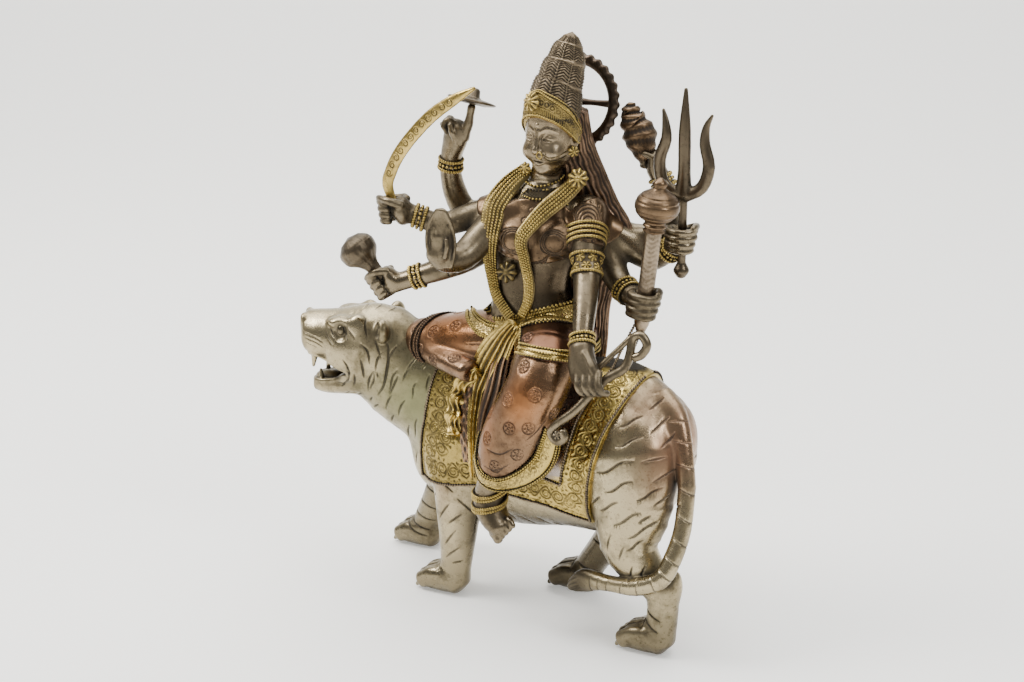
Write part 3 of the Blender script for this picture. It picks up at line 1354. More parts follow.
# %% Lofts: a skin wound round a curve, with folds
def loft(rows, across, sides, steps=4, folds=None, dome=0.5):
    """A closed skin of oval sections. `folds` gives the outward shift for a share along and angles round."""
    form = Limb(rows, across=across, steps=steps, dome=dome)
    turn = around(sides)
    last = len(form.middle) - 1
    rings = []
    for k in range(last + 1):
        side, rise = np.outer(np.cos(turn), form.side[k]), np.outer(np.sin(turn), form.rise[k])
        ring = form.middle[k] + form.half[k, 0] * side + form.half[k, 1] * rise
        shift = folds(k / last, turn) if folds else np.zeros(sides)
        rings.append(ring + (side + rise) * shift[:, None])
    for k, sense in ((0, -1), (last, 1)):
        rings.append(form.middle[k] + form.along[k] * sense * dome * form.half[k].min())
    tip = (last + 1) * sides
    faces = [grid_faces(last + 1, sides), fan(0, sides, tip, flip=True), fan(last * sides, sides, tip + 1)]
    return np.vstack(rings), np.vstack(faces)


# %% [markdown]
# ## The rider
# She sits sideways with her face to the near side. Her shoulders are turned 20 degrees towards the
# tiger's tail. Her skin is one blended casting; dress, hair and ornaments are laid over it, as the
# goldsmith's wax model was built.

# %% Her torso, arms and foot
UP = np.array([0.0, 0.0, 1.0])
ALONG = np.array([1.0, 0.0, 0.0])
SIDEWAYS = np.array([0.0, 1.0, 0.0])
TORSO_YAW = radians(20)
SHOULDER_LINE = np.array([cos(TORSO_YAW), sin(TORSO_YAW), 0])
CHEST_LINE = np.array([sin(TORSO_YAW), -cos(TORSO_YAW), 0])


def on_torso(right, front, up):
    return np.array([-13.0, -3.0, up]) + right * SHOULDER_LINE + front * CHEST_LINE


TORSO = [
    (-10, -4, 128, 24, 19), (-11, -5, 142, 24.5, 18.5), (-14, -7, 152, 22.3, 16.4),
    (-15.5, -8, 160, 19.8, 13.8), (-16, -8, 168, 18.3, 12.4), (-15, -7, 180, 18.6, 11.8),
    (-13, -5, 195, 20.4, 12.2), (-13, -2, 206, 19, 10.2), (-12.3, -1, 213, 13, 9.6),
    (-12, -0.6, 218, 8.4, 8.2), (-11, -2, 228, 7, 7), (-10, -3, 236, 7, 7),
]
ARMS = {
    "disc": [
        (-27, 0, 203, 8.5), (-44, 0, 198, 7.2), (-57.5, -2, 197, 6.4), (-62.5, -5, 207, 5.8),
        (-63, -8, 219, 5.1), (-61, -9, 229, 4.8),
    ],
    "sword": [
        (-28, -6, 205, 8.5), (-44, -16, 200, 6.6), (-57, -23, 195.5, 5.6), (-67, -29, 199, 4.8),
        (-75, -34, 203, 4.6),
    ],
    "blessing": [
        (-27, -12, 203, 8), (-34, -24, 192, 7.4), (-37, -34, 185, 6.8), (-40, -44, 185, 6.0),
        (-41, -49, 189, 5.6),
    ],
    "lotus": [
        (-26, -8, 200, 8.5), (-36, -15, 188, 7.4), (-44, -21, 180, 6.6), (-56, -29, 174, 5.6),
        (-66, -34, 170, 4.8), (-76, -39, 166, 4.4),
    ],
    "conch": [
        (4, 8, 200, 8), (20, 17, 193, 6.6), (33, 23, 193, 5.8), (40.5, 26.5, 200, 5.4), (40.5, 27, 210, 5),
        (33, 25, 225, 4.6),
    ],
    "trident": [(6, 6, 203, 8), (20, 14, 192, 6.8), (33, 19, 183, 6), (43, 18, 187, 5.2), (50, 16, 193, 4.8)],
    "mace": [
        (7, 4, 200, 8), (13, 7, 190, 7.6), (19, 8, 180, 7.2), (26, 4.5, 173.5, 6.2), (34, 0, 170.5, 5.4),
        (43, -4, 168.5, 5),
    ],
    "bow": [
        (9, 2, 205, 9.2), (15, -7, 192, 7.4), (20, -15, 179, 6.2), (25.5, -25, 168, 5.5),
        (30, -34, 157, 4.8), (33, -38, 151, 4.8),
    ],
}
MACE_LOW, MACE_HIGH = np.array([45.0, -7, 155]), np.array([53.5, -6, 230])
TRIDENT_LOW, TRIDENT_HIGH = np.array([53.0, 16, 180]), np.array([54.0, 14, 268])
FISTS = {
    "mace": ((47, -6.5, 168.5), MACE_HIGH - MACE_LOW, (-1, 0.2, 0), 7.0),
    "trident": ((54, 15.6, 196), TRIDENT_HIGH - TRIDENT_LOW, (-1, 0.4, 0), 6.8),
    "sword": ((-76.5, -35.5, 201.8), (-2, 0, 17), (1, 0.6, 0), 7.3),
    "lotus": ((-79, -40.6, 166.8), (-0.9, 0, 1), (1, 0.6, 0), 6.9),
    "conch": ((30, 24, 229), (0, 0, 1), (1, 0.2, 0), 4.8),
}
ANKLE = [
    (-11, -45, 86, 7.2, 7.2), (-14, -45, 76, 7.4, 7.2), (-14, -46, 68, 8.0, 7.6),
    (-10, -47.5, 62, 7.8, 6.6), (-5.5, -49, 58.6, 6.6, 5.0),
]


def sculpt_fist(block, centre, grip, back, size):
    """A closed hand: the back of it, four fingers wound round the grip, and a thumb across them."""
    g = unit(grip)
    b = unit(np.asarray(back, float) - g * (np.asarray(back, float) @ g))
    away = np.cross(g, b)
    place = lambda up, out, aside: np.asarray(centre, float) + size * (g * up + b * out + away * aside)
    block.add(Egg(place(0, 0.5, -0.1), (size * 0.98, size * 0.62, size * 0.86), np.array([g, b, away])), 1.8)
    for k, up in enumerate((0.70, 0.25, -0.21, -0.63)):
        thick = size * (0.255 if k < 3 else 0.225)
        tip = 0.1 * k * (1 if k > 1 else 0.4)
        bend = [
            (0.85, 0.30), (0.62, 0.86), (0.05, 1.02), (-0.62, 0.80), (-0.90, 0.22 + tip),
            (-0.78, -0.34 + tip), (-0.36, -0.55 + tip),
        ]
        block.add(Limb([(*place(up, out, aside), thick) for out, aside in bend], across=g, steps=2), 0.3)
        block.add(Egg(place(up, 0.64, 0.84), (thick * 1.12,) * 3), 0.5)
    block.add(Limb([(*place(0.45, 0.55, -0.70), size * 0.32), (*place(0.80, -0.15, -0.92), size * 0.27),
                    (*place(0.95, -0.72, -0.45), size * 0.24), (*place(0.98, -0.98, 0.0), size * 0.19)],
                    across=g, steps=3), 0.5)


def finger(block, rows, size):
    """One straight or bent finger, with small swellings at its joints."""
    path = curve_through(rows, 4)
    share = np.linspace(0, 1, len(path))
    thick = size * (1.0 - 0.28 * share + 0.06 * np.cos(4 * pi * share))
    block.add(Limb([(*p, t) for p, t in zip(path, thick)], across=UP, steps=1), 0.35)


def blessing_hand(block):
    """An open hand on an oval plate with a rim, palm to the viewer."""
    across = unit((0.88, 0.42, -0.1))
    plate = [
        (-38.5, -48.5, 183.5, 4.4), (-38.4, -49.6, 189, 6.3), (-38, -50.4, 196, 7.0),
        (-37.6, -51, 203, 6.0), (-37.2, -51.2, 208.5, 3.8), (-37, -51.2, 211, 2.2),
    ]
    block.add(Limb([(*row, 1.5) for row in plate], across=across), 1.0)
    front = np.array([0.42, -0.88, 0.1])
    spine = curve_through(plate, 4)
    both_ways = ((1, spine), (-1, spine[::-1]))
    rim = [p[:3] + across * (p[3] - 0.3) * side + front for side, rows in both_ways for p in rows]
    block.add(Limb([(*p, 0.85) for p in [*rim, rim[0]]], across=UP, steps=1), 0.4)
    block.add(Limb([(-38.2, -50.4, 188, 3.8, 2.0), (-38, -51.3, 194, 4.3, 2.0),
                    (-37.8, -51.8, 198.6, 3.9, 1.6)], across=across), 0.8)
    for k, height in zip((-1.5, -0.5, 0.5, 1.5), (5.4, 7.6, 8.2, 6.2)):
        root = np.array([-37.8, -51.9, 197.6]) + across * 2.1 * k
        bend = [root + across * 0.1 * k + step for step in ((0, -0.2, 0.55 * height), (0.5, 0.1, height))]
        finger(block, [root, *bend], 1.25)
    finger(block, [(-34.8, -51.6, 189), (-33.2, -52.4, 193.5), (-33.4, -52.4, 197.5)], 1.35)


def disc_hand(block):
    block.add(Limb([(-61.5, -9, 227, 5.2, 4.8), (-58.5, -10, 235, 7.2, 5), (-56.5, -10, 241, 6.2, 4.6)],
                   across=unit((0.9, -0.3, -0.3))), 1.5)
    finger(block, [(-53, -10.5, 236), (-50.4, -10.5, 243), (-48.6, -10.2, 251.5)], 2.6)
    for k in range(3):
        bend = [
            (-56 - 1.8 * k, -12 + 1.4 * k, 241), (-59.6 - 1.2 * k, -14 + 2.4 * k, 244.4),
            (-62 - 0.6 * k, -14.4 + 2.6 * k, 241.4), (-60.4 - 0.6 * k, -14 + 2.4 * k, 238.6),
        ]
        finger(block, bend, 1.9)
    finger(block, [(-55, -13, 234), (-56.4, -15.4, 239), (-57.4, -15.6, 242.6)], 1.9)


def bow_hand(block):
    block.add(Limb([(32, -38.5, 153, 5.0, 5.6), (34, -41, 148, 4.6, 7.4), (37, -43, 143, 4.2, 8.0),
                    (39.6, -44, 139, 3.4, 7.0)], across=SIDEWAYS), 2)
    for k in range(4):
        root = np.array([34.6 + 3.6 * k, -44.8, 143 + 0.8 * k])
        bend = [root + step for step in ((1.8, -3.2, -4.0), (3.4, -2.4, -8.0), (4.4, 0.8, -9.4))]
        finger(block, [root, *bend], 2.05)
    finger(block, [(37, -42, 152), (42.6, -45.4, 147.4), (46, -46.4, 140)], 2.3)


def foot(block):
    block.add(Limb(ANKLE, across=SIDEWAYS, dome=0.8), 2)
    block.add(Egg((-17, -43, 64), (4.6, 5.6, 5)), 3)
    for k in range(5):
        thick = (2.5, 1.9, 1.8, 1.7, 1.6)[k]
        root = np.array([-8.2 + 1.75 * k, -50.6 + 0.5 * k, 55.6 + 2.0 * k])
        tip = root + np.array([2.9, -0.9, -2.4])
        block.add(Limb([(*root, thick * 1.05), (*((root + tip) / 2 + (0.3, -0.2, 0.3)), thick),
                        (*tip, thick * 0.95)], steps=2, dome=0.9), 0.35)


def rider_skin():
    block = Block((-106, -62, 46), (66, 38, 262), COARSE)
    block.add(Limb(TORSO, across=SHOULDER_LINE, dome=0.1), 0)
    for right in (-10, 10):
        block.add(Egg(on_torso(right, 9.0, 193.4), (8.8, 8.8, 8.8)), 2.5)
    for rows in ARMS.values():
        block.add(Limb(rows, across=UP, dome=0.95), 3.5)
    fine = block.finer()
    for fist in FISTS.values():
        sculpt_fist(fine, *fist)
    for hand in (blessing_hand, disc_hand, bow_hand, foot):
        hand(fine)
    fine.cut(Egg(on_torso(-3, 17.2, 167), (1.0, 4.6, 1.3)), 1.2)
    return fine


def skin_cuts(block):
    """Creases: rings round the neck, folds at wrists and elbows."""
    cuts = []
    for z in (218.6, 221.8, 225.0):
        line = [(-11.6 + 8 * cos(a), -1.4 + 8 * sin(a), z - 1.2 * sin(a))
                for a in np.linspace(-2.9, -0.2, 12)]
        cuts.append((block.settle(line, 8), 1.2, 0.4))
    for name in ("bow", "mace", "lotus", "sword"):
        limb = Limb(ARMS[name], across=UP)
        for share in (0.50, 0.535):
            fold = [limb.point(share, radians(a), 0.5) for a in range(180, 330, 25)]
            cuts.append((block.settle(fold, 6), 1.0, 0.3))
    return cuts


rider = rider_skin()
rider_piece = hollow_skin("rider_skin", rider, 4.0, cuts=skin_cuts(rider))
body = figure_points(rider_piece)
belly_dark = 1.3 * np.exp(-((body - on_torso(0, 2, 172)) ** 2 / np.array([22.0, 18.0, 24.0]) ** 2).sum(1))
foot_dark = 0.5 * np.exp(-((body - (-10, -46, 64)) ** 2 / 12.0 ** 2).sum(1))
bow_elbow, bow_wrist = np.array(ARMS["bow"][3][:3]), np.array(ARMS["bow"][5][:3])
arm_dark = 0.4 * np.exp(-((body - 0.5 * (bow_elbow + bow_wrist)) ** 2 / 15.0 ** 2).sum(1))
paint(rider_piece, "warm", belly_dark + foot_dark + arm_dark)
finished(rider_piece, SKIN)
print("rider blended after", round(time.time() - started, 1), "s")

# %% [markdown]
# ## The saddle cloth
# The cloth is a thin shell on the tiger's trunk, cut to an outline that is drawn in side view. It
# has a broad brass border with a vine of curls, edged with rope, round a plain inner panel.

# %% The cloth
CLOTH_OUTLINE = np.array([
    (-73, 61), (-66, 96), (-57, 150), (55, 150), (45, 126), (38, 106), (33, 82), (29.5, 59), (5, 64),
    (-34, 66),
], float)
CLOTH_EDGE = np.roll(CLOTH_OUTLINE, -3, axis=0)
CLOTH_THICKNESS = 1.6
BORDER = 16.5
CLOTH_FRONT = -24.0
CLOTH_FILL = np.array([(-42, 134), (-46, 110), (-53, 79)], float)
CLOTH_VINE = (6.6, 11.0, (1.05, 0.55))
ROPE_SIZE = (1.0, 0.72, 0.85)


def outline_distance(x, z, outline):
    """Distance to a closed outline in side view, negative inside."""
    best = np.full(np.broadcast(x, z).shape, FAR * FAR)
    inside = np.zeros(best.shape, bool)
    for (ax, az), (bx, bz) in zip(outline, np.roll(outline, -1, axis=0)):
        ex, ez = bx - ax, bz - az
        t = np.clip(((x - ax) * ex + (z - az) * ez) / (ex * ex + ez * ez), 0, 1)
        best = np.minimum(best, (x - ax - t * ex) ** 2 + (z - az - t * ez) ** 2)
        crossing = ((az > z) != (bz > z)) & (x < (bx - ax) * (z - az) / (bz - az + 1e-9) + ax)
        inside ^= crossing
    return np.sqrt(best) * np.where(inside, -1, 1)


def inset(edge, by):
    """A line in side view, moved sideways into the cloth."""
    along = unit(np.diff(edge, axis=0))
    aside = np.column_stack([along[:, 1], -along[:, 0]])
    corner = np.vstack([aside[:1], aside[:-1] + aside[1:], aside[-1:]])
    weights = np.full((len(corner), 1), 2.0)
    weights[[0, -1]] = 1
    corner = corner / (corner ** 2).sum(1, keepdims=True) * weights
    return edge + corner * by


def cloth_block():
    """The tiger's own surface, pushed out by the thickness and kept within the outline."""
    fine = tiger_form.part((-80, -44, 52), (62, 40, 134)).grown(CLOTH_THICKNESS)
    x, _, z = fine.axes()
    return fine.kept_within(outline_distance(x, z, CLOTH_OUTLINE), 0.8)


def side_line(block, line, side):
    """A polyline in side view, dropped on the cloth with a point every millimetre and a half."""
    return from_side(block, curve_points(line, 1.5), side)


def curve_points(line, step):
    """Points at equal steps along straight stretches, corners kept."""
    found = []
    for a, b in zip(line, line[1:]):
        count = max(int(np.linalg.norm(b - a) / step), 1)
        found += [a + (b - a) * k / count for k in range(count)]
    return np.array(found + [line[-1]])


cloth = cloth_block()
cloth_ropes = []
cloth_wires = []
cloth_cuts = []
for side in (-1, 1):
    for depth in (1.0, BORDER):
        line = side_line(cloth, inset(CLOTH_EDGE, depth), side)
        line = line[line[:, 0] > CLOTH_FRONT] if depth == BORDER and side < 0 else line
        cloth_ropes.append((line + cloth.slope(line) * 0.3, cloth.slope(line)))
    for depth in (2.6, BORDER - 1.6):
        line = side_line(cloth, inset(CLOTH_EDGE, depth), side)
        line = line[line[:, 0] > CLOTH_FRONT] if depth > 0.5 * BORDER and side < 0 else line
        cloth_wires.append((line, 0.5, 0.2))
    cloth_cuts += vine(cloth, side_line(cloth, inset(CLOTH_EDGE, 0.5 * BORDER + 0.4), side), *CLOTH_VINE)
cloth_cuts += vine(cloth, side_line(cloth, CLOTH_FILL, -1), *CLOTH_VINE)
cloth_piece = hollow_skin("saddle_cloth", cloth, 3.0, cloth_cuts, cloth_wires)
cloth_places = figure_points(cloth_piece)
in_panel = outline_distance(cloth_places[:, 0], cloth_places[:, 2], CLOTH_OUTLINE) < -BORDER
paint(cloth_piece, "panel",
      in_panel & (cloth_places[:, 2] < 128) & ((cloth_places[:, 0] > CLOTH_FRONT) | (cloth_places[:, 1] > 0)))
at_front = np.clip((-12 - cloth_places[:, 0]) / 25, 0, 1) * (cloth_places[:, 1] < 0)
paint(cloth_piece, "soot", 0.5 * at_front)
finished(cloth_piece, CLOTH_BRASS, "tiger")
beads("cloth_ropes", cloth_ropes, ROPE_COPPER, 1.4, ROPE_SIZE, lean=38, node="tiger")
print("cloth done after", round(time.time() - started, 1), "s")

# %% Skirt with rosettes
FOLDED_LEG = [
    (-16, -9, 140, 17, 15), (-22, -10, 141, 16.4, 14.4), (-44, -12, 136, 16, 15), (-64, -13, 132, 15, 13.5),
    (-76, -14, 131, 12, 11),
]
SHIN = [(-72, -19, 130, 7.6, 6), (-52, -26, 128.5, 8.2, 6.2), (-36, -30, 127, 8, 6)]
HANGING_LEG = [
    (-4, -12, 143, 16, 14), (7, -29, 141, 15.5, 14.6), (9.5, -39.5, 131, 15, 14.2),
    (5.5, -43.5, 120, 15, 13.6), (0, -45, 108, 15.2, 12.8), (-4.5, -45.5, 97, 14.4, 12.2),
    (-7.5, -46, 89, 11.6, 11), (-10, -46, 84, 7.5, 8.5),
]
HEM_FLARE = [
    (18.5, -42, 112, 4.4), (16.5, -41, 102, 4.6), (12.5, -42, 93, 4.6), (5, -45, 86.5, 4.6),
    (-4, -48.5, 83.5, 4.4), (-12, -49.5, 84, 4.2), (-17, -47, 91, 4),
]


def skirt_block():
    block = Block((-98, -66, 68), (34, 18, 164), COARSE)
    block.add(Limb(FOLDED_LEG, dome=0.85), 0)
    block.add(Limb(SHIN, dome=0.6), 3)
    block.add(Limb(HANGING_LEG, across=ALONG, dome=0.5), 4)
    block.add(Limb(HEM_FLARE), 3)
    block.add(Limb([(-9.5, -4.5, 127, 25.4, 20.4), (-10.8, -5, 145, 25.6, 19.6)], across=SHOULDER_LINE,
                   dome=0.2), 4)
    return block.finer()


ROSETTES = [
    (-62, -24, 140), (-50, -23, 145), (-68, -27, 131), (-34, -22, 148), (-57, -33, 129), (-44, -33, 133),
    (-74, -22, 139), (-55, -12, 148), (-38, -8, 152), (-70, -10, 144), (-60, 2, 139), (-45, 3, 143),
    (2, -58, 128), (16, -52, 131), (5, -57, 114), (-8, -56, 106), (9, -56, 100), (-3, -58, 93),
    (13, -53, 115), (-13, -52, 92), (19, -44, 122), (17, -42, 106), (-10, -52, 118), (7, -50, 143),
    (-9, -44, 130),
]
skirt = skirt_block()
skirt_cuts = []
for k, place in enumerate(ROSETTES):
    skirt_cuts += laid(skirt, place, rosette(3.1), (1.0, 0.5), turn=0.4 * k)
skirt_cuts += [(skirt.settle(curve_through(line, 5), 6), 1.1, 0.4) for line in (
    [(8, -58, 104), (0, -58, 100), (-8, -57, 101)], [(6, -58, 95), (-2, -58, 91), (-10, -56, 92)],
    [(12, -54, 108), (16, -50, 114), (17, -47, 120)],
    [(-16, -30, 142), (-28, -27, 141), (-40, -27, 139)], [(-14, -34, 138), (-26, -31, 135), (-40, -30, 134)],
)]
skirt_piece = hollow_skin("skirt", skirt, 4.0, skirt_cuts)
dress = figure_points(skirt_piece)
glow = sum(np.exp(-((dress - middle) ** 2 / np.array(reach) ** 2).sum(1)) for middle, reach in (
    ((-52, -22, 142), (18, 12, 9)), ((10, -56, 128), (10, 10, 12)), ((-10, -55, 112), (5, 10, 14))))
paint(skirt_piece, "warm", glow)
paint(skirt_piece, "soot",
      0.45 * np.exp(-((dress - (-4, -54, 100)) ** 2 / np.array((16.0, 14.0, 15.0)) ** 2).sum(1)))
finished(skirt_piece, COPPER)

# %% Borders: bands laid on a form between two lines
HEM_INNER = [
    (18.5, -48, 114), (15.4, -48, 104.5), (13, -48, 98.6), (8.4, -51, 93.2), (1, -54.4, 88),
    (-4.4, -56, 86.6), (-9, -56.6, 87), (-13.8, -55, 89.4), (-17.5, -51.5, 95), (-18, -50, 105),
]
HEM_OUTER = [
    (22, -42.5, 111), (19.6, -41, 101.4), (16, -41.5, 92.6), (9.4, -44.4, 84.8), (1.4, -48, 80.2),
    (-4, -50.6, 79), (-10.4, -52, 79.4), (-16.2, -50.5, 83), (-20, -47.5, 90.5), (-20.5, -46, 100),
]
BAND_LIMIT = 9000
BAND_BULGE = 0.25


def band_between(block, inner, outer, lift, steps, rows):
    """A strip of skin between two lines on a form, a little proud and rounded across."""
    a = curve_through(inner, steps)
    b = curve_through(outer, steps)
    points = []
    for t in np.arange(rows + 1) / rows:
        line = block.settle(a + (b - a) * t, 5)
        points.append(line + block.slope(line) * (lift + BAND_BULGE * sin(pi * t)))
    return np.vstack(points), grid_faces(rows + 1, len(a), wrap=False)


def solid_band(name, block, inner, outer, lift, material, cuts=(), step=0.4):
    """The strip as a closed skin with a thickness, and with lines sunk into it."""
    length = np.linalg.norm(np.diff(np.asarray(inner, float), axis=0), axis=1).mean()
    width = np.linalg.norm(np.asarray(inner, float) - np.asarray(outer, float), axis=1).mean()
    points, faces = band_between(block, inner, outer, lift, int(length / step) + 1, int(width / step) + 2)
    a, b, c = (points[faces[:, i]] for i in range(3))
    facing = np.cross(b - a, c - a)
    if (facing * block.slope((a + b + c) / 3)).sum() < 0:
        faces = faces[:, ::-1]
    out = block.slope(points)
    cuts = [(line + block.slope(line) * (lift + 0.7 * BAND_BULGE), size, depth) for line, size, depth in cuts]
    sunk = cut_depth(points, cuts) if cuts else np.zeros(len(points))
    deep = cut_depth(points, [(line, size, 1.0) for line, size, _ in cuts]) if cuts else sunk
    top = points - out * sunk[:, None]
    under = points - out * (lift + 1.2)
    edges = np.vstack([faces[:, [0, 1]], faces[:, [1, 2]], faces[:, [2, 0]]])
    key = {(p, q) for p, q in edges.tolist()}
    rim = np.array([(p, q) for p, q in edges.tolist() if (q, p) not in key])
    count = len(points)
    p, q = rim.T
    walls = np.vstack([np.column_stack([q, p, p + count]), np.column_stack([q, p + count, q + count])])
    whole = np.vstack([faces, faces[:, ::-1] + count, walls])
    piece = new_piece(name, np.vstack([top, under]), whole)
    paint(piece, "cut", np.concatenate([deep, np.ones(count)]))
    return finished(thinned(piece, BAND_LIMIT), material)


def rope_on(block, line, steps=6, lift=0.2):
    """A smooth line on a form, with its outward directions, for beads and ropes."""
    path = block.settle(curve_through(line, steps), 6)
    out = block.slope(path)
    return path + out * lift, out


def midway(inner, outer, share):
    return [tuple(np.asarray(p, float) * (1 - share) + np.asarray(q, float) * share)
            for p, q in zip(inner, outer)]


def border(name, block, inner, outer, lift, material, leaf=0.0, ropes=(0.0, 1.0), rope=(0.95, 0.62, 0.75)):
    """A whole border: a brass band between rows of rope, with a vine of leaves if it is broad."""
    middle_line = block.settle(curve_through(midway(inner, outer, 0.5), 8), 4)
    cuts = vine(block, middle_line, leaf, 1.35 * leaf, (0.95, 0.5)) if leaf else []
    solid_band(name, block, inner, outer, lift, material, cuts)
    lines = [rope_on(block, midway(inner, outer, share), 6, lift + 0.4) for share in ropes]
    beads(name + "_ropes", lines, material, 1.35, rope, lean=36)


border("hem", skirt, HEM_INNER, HEM_OUTER, 0.5, CLOTH_BRASS, 4.2, (0.0, 0.14, 0.86, 1.0))
KNEE_INNER = [(-63, -3, 146), (-67, -14, 146), (-70, -23, 141), (-70, -28, 134), (-66, -29, 125)]
KNEE_OUTER = [(-67, -3, 144.5), (-71, -14, 144), (-74.5, -22, 139), (-74.5, -26, 132), (-70.5, -27, 124)]
border("knee_border", skirt, KNEE_INNER, KNEE_OUTER, 0.2, COPPER, 0.0, (0.0, 0.4, 1.0))
THIGH_INNER = [(-15, -25, 152.5), (-24, -24, 151), (-33, -22, 151), (-42, -17, 151.5), (-49, -9, 151)]
THIGH_OUTER = [(-15, -29, 146), (-24, -28.5, 144), (-33, -27, 144.5), (-42.5, -22, 147.5), (-50, -13, 149)]
border("thigh_border", skirt, THIGH_INNER, THIGH_OUTER, 0.2, BRASS, 3.2, (0.0, 0.2, 0.85, 1.0))

# %% Hip cloth and belt
FINE = COARSE / 2
HIP_LOW_BACK = 137.0
HIP_FRONT_EDGE = -23.0
HIP_END = -35.0
CAMERA_RIGHT = np.array([cos(CAMERA_TURN), sin(CAMERA_TURN), 0.0])


def joined(low, high, blocks):
    """Several blocks as one."""
    made = Block(low, high, FINE)
    points = np.stack(np.broadcast_arrays(*made.axes()), -1).reshape(-1, 3)
    nearest = np.minimum.reduce([block.at(points) for block in blocks])
    made.value = nearest.reshape(made.value.shape).astype(np.float32)
    return made


def hip_edge(y):
    """Height of the hip cloth's lower edge: it rides up over the raised thigh."""
    return HIP_LOW_BACK + 0.25 * np.clip(-10 - y, 0, 40)


waist = Block((-46, -64, 120), (40, 28, 172), COARSE).add(Limb(TORSO, across=SHOULDER_LINE, dome=0.1)).finer()
hips = joined((-42, -60, 124), (34, 24, 168), (waist, skirt))


def hip_cloth():
    """An apron over hips and thigh, open at the front, where the sash falls."""
    cloth = hips.part((-42, -60, 124), (34, 24, 168)).grown(1.1)
    x, y, z = cloth.axes()
    beyond = np.minimum(HIP_FRONT_EDGE - (x * CAMERA_RIGHT[0] + y * CAMERA_RIGHT[1]), -(y + 8))
    limits = np.maximum(np.maximum(hip_edge(y) - z, z - 159), np.maximum(beyond, HIP_END - x))
    return cloth.kept_within(limits, 0.5)


hip = hip_cloth()
hip_marks = []
HIP_ROSETTES = [
    (8, -46, 150), (16, -46, 148), (2, -38, 153), (24, -34, 147), (24, -18, 145), (16, -2, 147),
    (6, 12, 147), (-10, 14, 147), (-24, 8, 147),
]
for k, place in enumerate(HIP_ROSETTES):
    hip_marks += laid(hip, place, rosette(3.0), (0.95, 0.45), turn=0.4 * k)
finished(hollow_skin("hip_cloth", hip, 3.0, hip_marks), HIP_COPPER)


def hip_line(above):
    """A line round the hips, a little above the cloth's lower edge."""
    found = []
    reach = np.arange(64.0, 0.0, -0.25)[:, None]
    for a in np.radians(np.linspace(-97, 172, 60)):
        ray = np.array([4.0, -18.0, 0.0]) + reach * np.array([cos(a), sin(a), 0.0])
        ray[:, 2] = hip_edge(ray[:, 1]) + above
        found.append(tuple(ray[(hips.at(ray) < 0).argmax()]))
    return found[::2]


border("hip_border", hips, hip_line(4.6), hip_line(0.4), 1.3, BRASS, 0.0, (0.0, 0.5, 1.0))

BELT_HIGH = [
    (-26, -21.5, 153.6), (-15.2, -23, 156.2), (-10.3, -21.6, 158.2), (-4.2, -18.6, 160.4), (1, -13, 161.6),
    (4.6, -5, 162), (3, 5, 162), (-5, 12, 162), (-17, 13, 161), (-28, 8, 160), (-34, -3, 158),
    (-33, -14, 155),
]
BELT_LOW = [
    (-26, -25, 147.5), (-15, -28, 150.5), (-7.5, -29, 154), (1, -28, 155.6), (8, -22, 156), (11, -8, 156),
    (8, 4, 156), (-1, 14, 156), (-16, 16, 155), (-30, 10, 154), (-37, -3, 152), (-36, -15, 149),
]
border("belt", hips, BELT_HIGH, BELT_LOW, 1.2, BRASS, 3.0, (0.22, 0.84))
belt_beads = [rope_on(hips, midway(BELT_HIGH, BELT_LOW, share), 4, 1.8) for share in (0.02, 1.0)]
HEM_PATH = [(-9.9, -27.1, 153.8), (-5.5, -33, 153), (-1.5, -38.7, 150.9), (2.6, -45, 147)]
hem_beads = rope_on(hip, HEM_PATH, 4, 0.4)
beads("belt_beads", [*belt_beads, hem_beads], BRASS, 2.0, (0.92, 0.92, 0.92))


def bodice_block():
    """Her own surface, pushed out by the thickness of cloth, over chest and shoulders."""
    block = rider.part((-46, -32, 174), (32, 20, 222)).grown(0.8)
    region = Block(block.low, block.low, block.step)
    region.value = np.full(block.value.shape, FAR, np.float32)
    region.add(Egg((-13, -8, 196), (25, 22, 16)), 0)
    region.add(Egg((16, 0, 202), (13, 16, 11.5)), 2)
    region.add(Egg((-33, -6, 204), (12, 16, 11)), 2)
    region.cut(Egg((-12, -3, 227.5), (9.6, 10.5, 9.6)), 1)
    return block.kept_within(region.value, 0.5)


def bodice_lines(block):
    """Paisley arcs under and over the breasts, and petals over the shoulders."""
    wires = []
    for right in (-10, 10):
        centre = on_torso(right, 17, 193)
        for radius in (5.5, 7.0, 8.5):
            wires += laid(block, centre, [circle(radius, 20)], (0.95, 0.45))
    for k in range(4):
        arc = circle(4.5 + 1.7 * k, 18)
        wires += laid(block, on_torso(9 - 1.2 * k, 12, 184 - 0.5 * k), [arc], (0.95, 0.45))
    for centre in ((17, -9, 205), (-38, -10, 204)):
        for radius in (2.2, 4.2, 6.2, 8.2):
            wires += laid(block, centre, [circle(radius, 20)], (1.0, 0.5))
        for k in range(14):
            a = 2 * pi * k / 14
            petal = circle(1.1, 6, 10.2 * cos(a), 10.2 * sin(a))
            wires += laid(block, centre, [petal], (0.8, 0.4))
    for right, up in ((-2, 207), (3, 203), (-5, 201), (0, 212)):
        wires += laid(block, on_torso(right, 11, up), [spiral(2.6, 1.5, 1 if right > 0 else -1)], (0.7, 0.35))
    return wires


bodice = bodice_block()
finished(hollow_skin("bodice", bodice, 2.5, cuts=bodice_lines(bodice)), BRONZE)

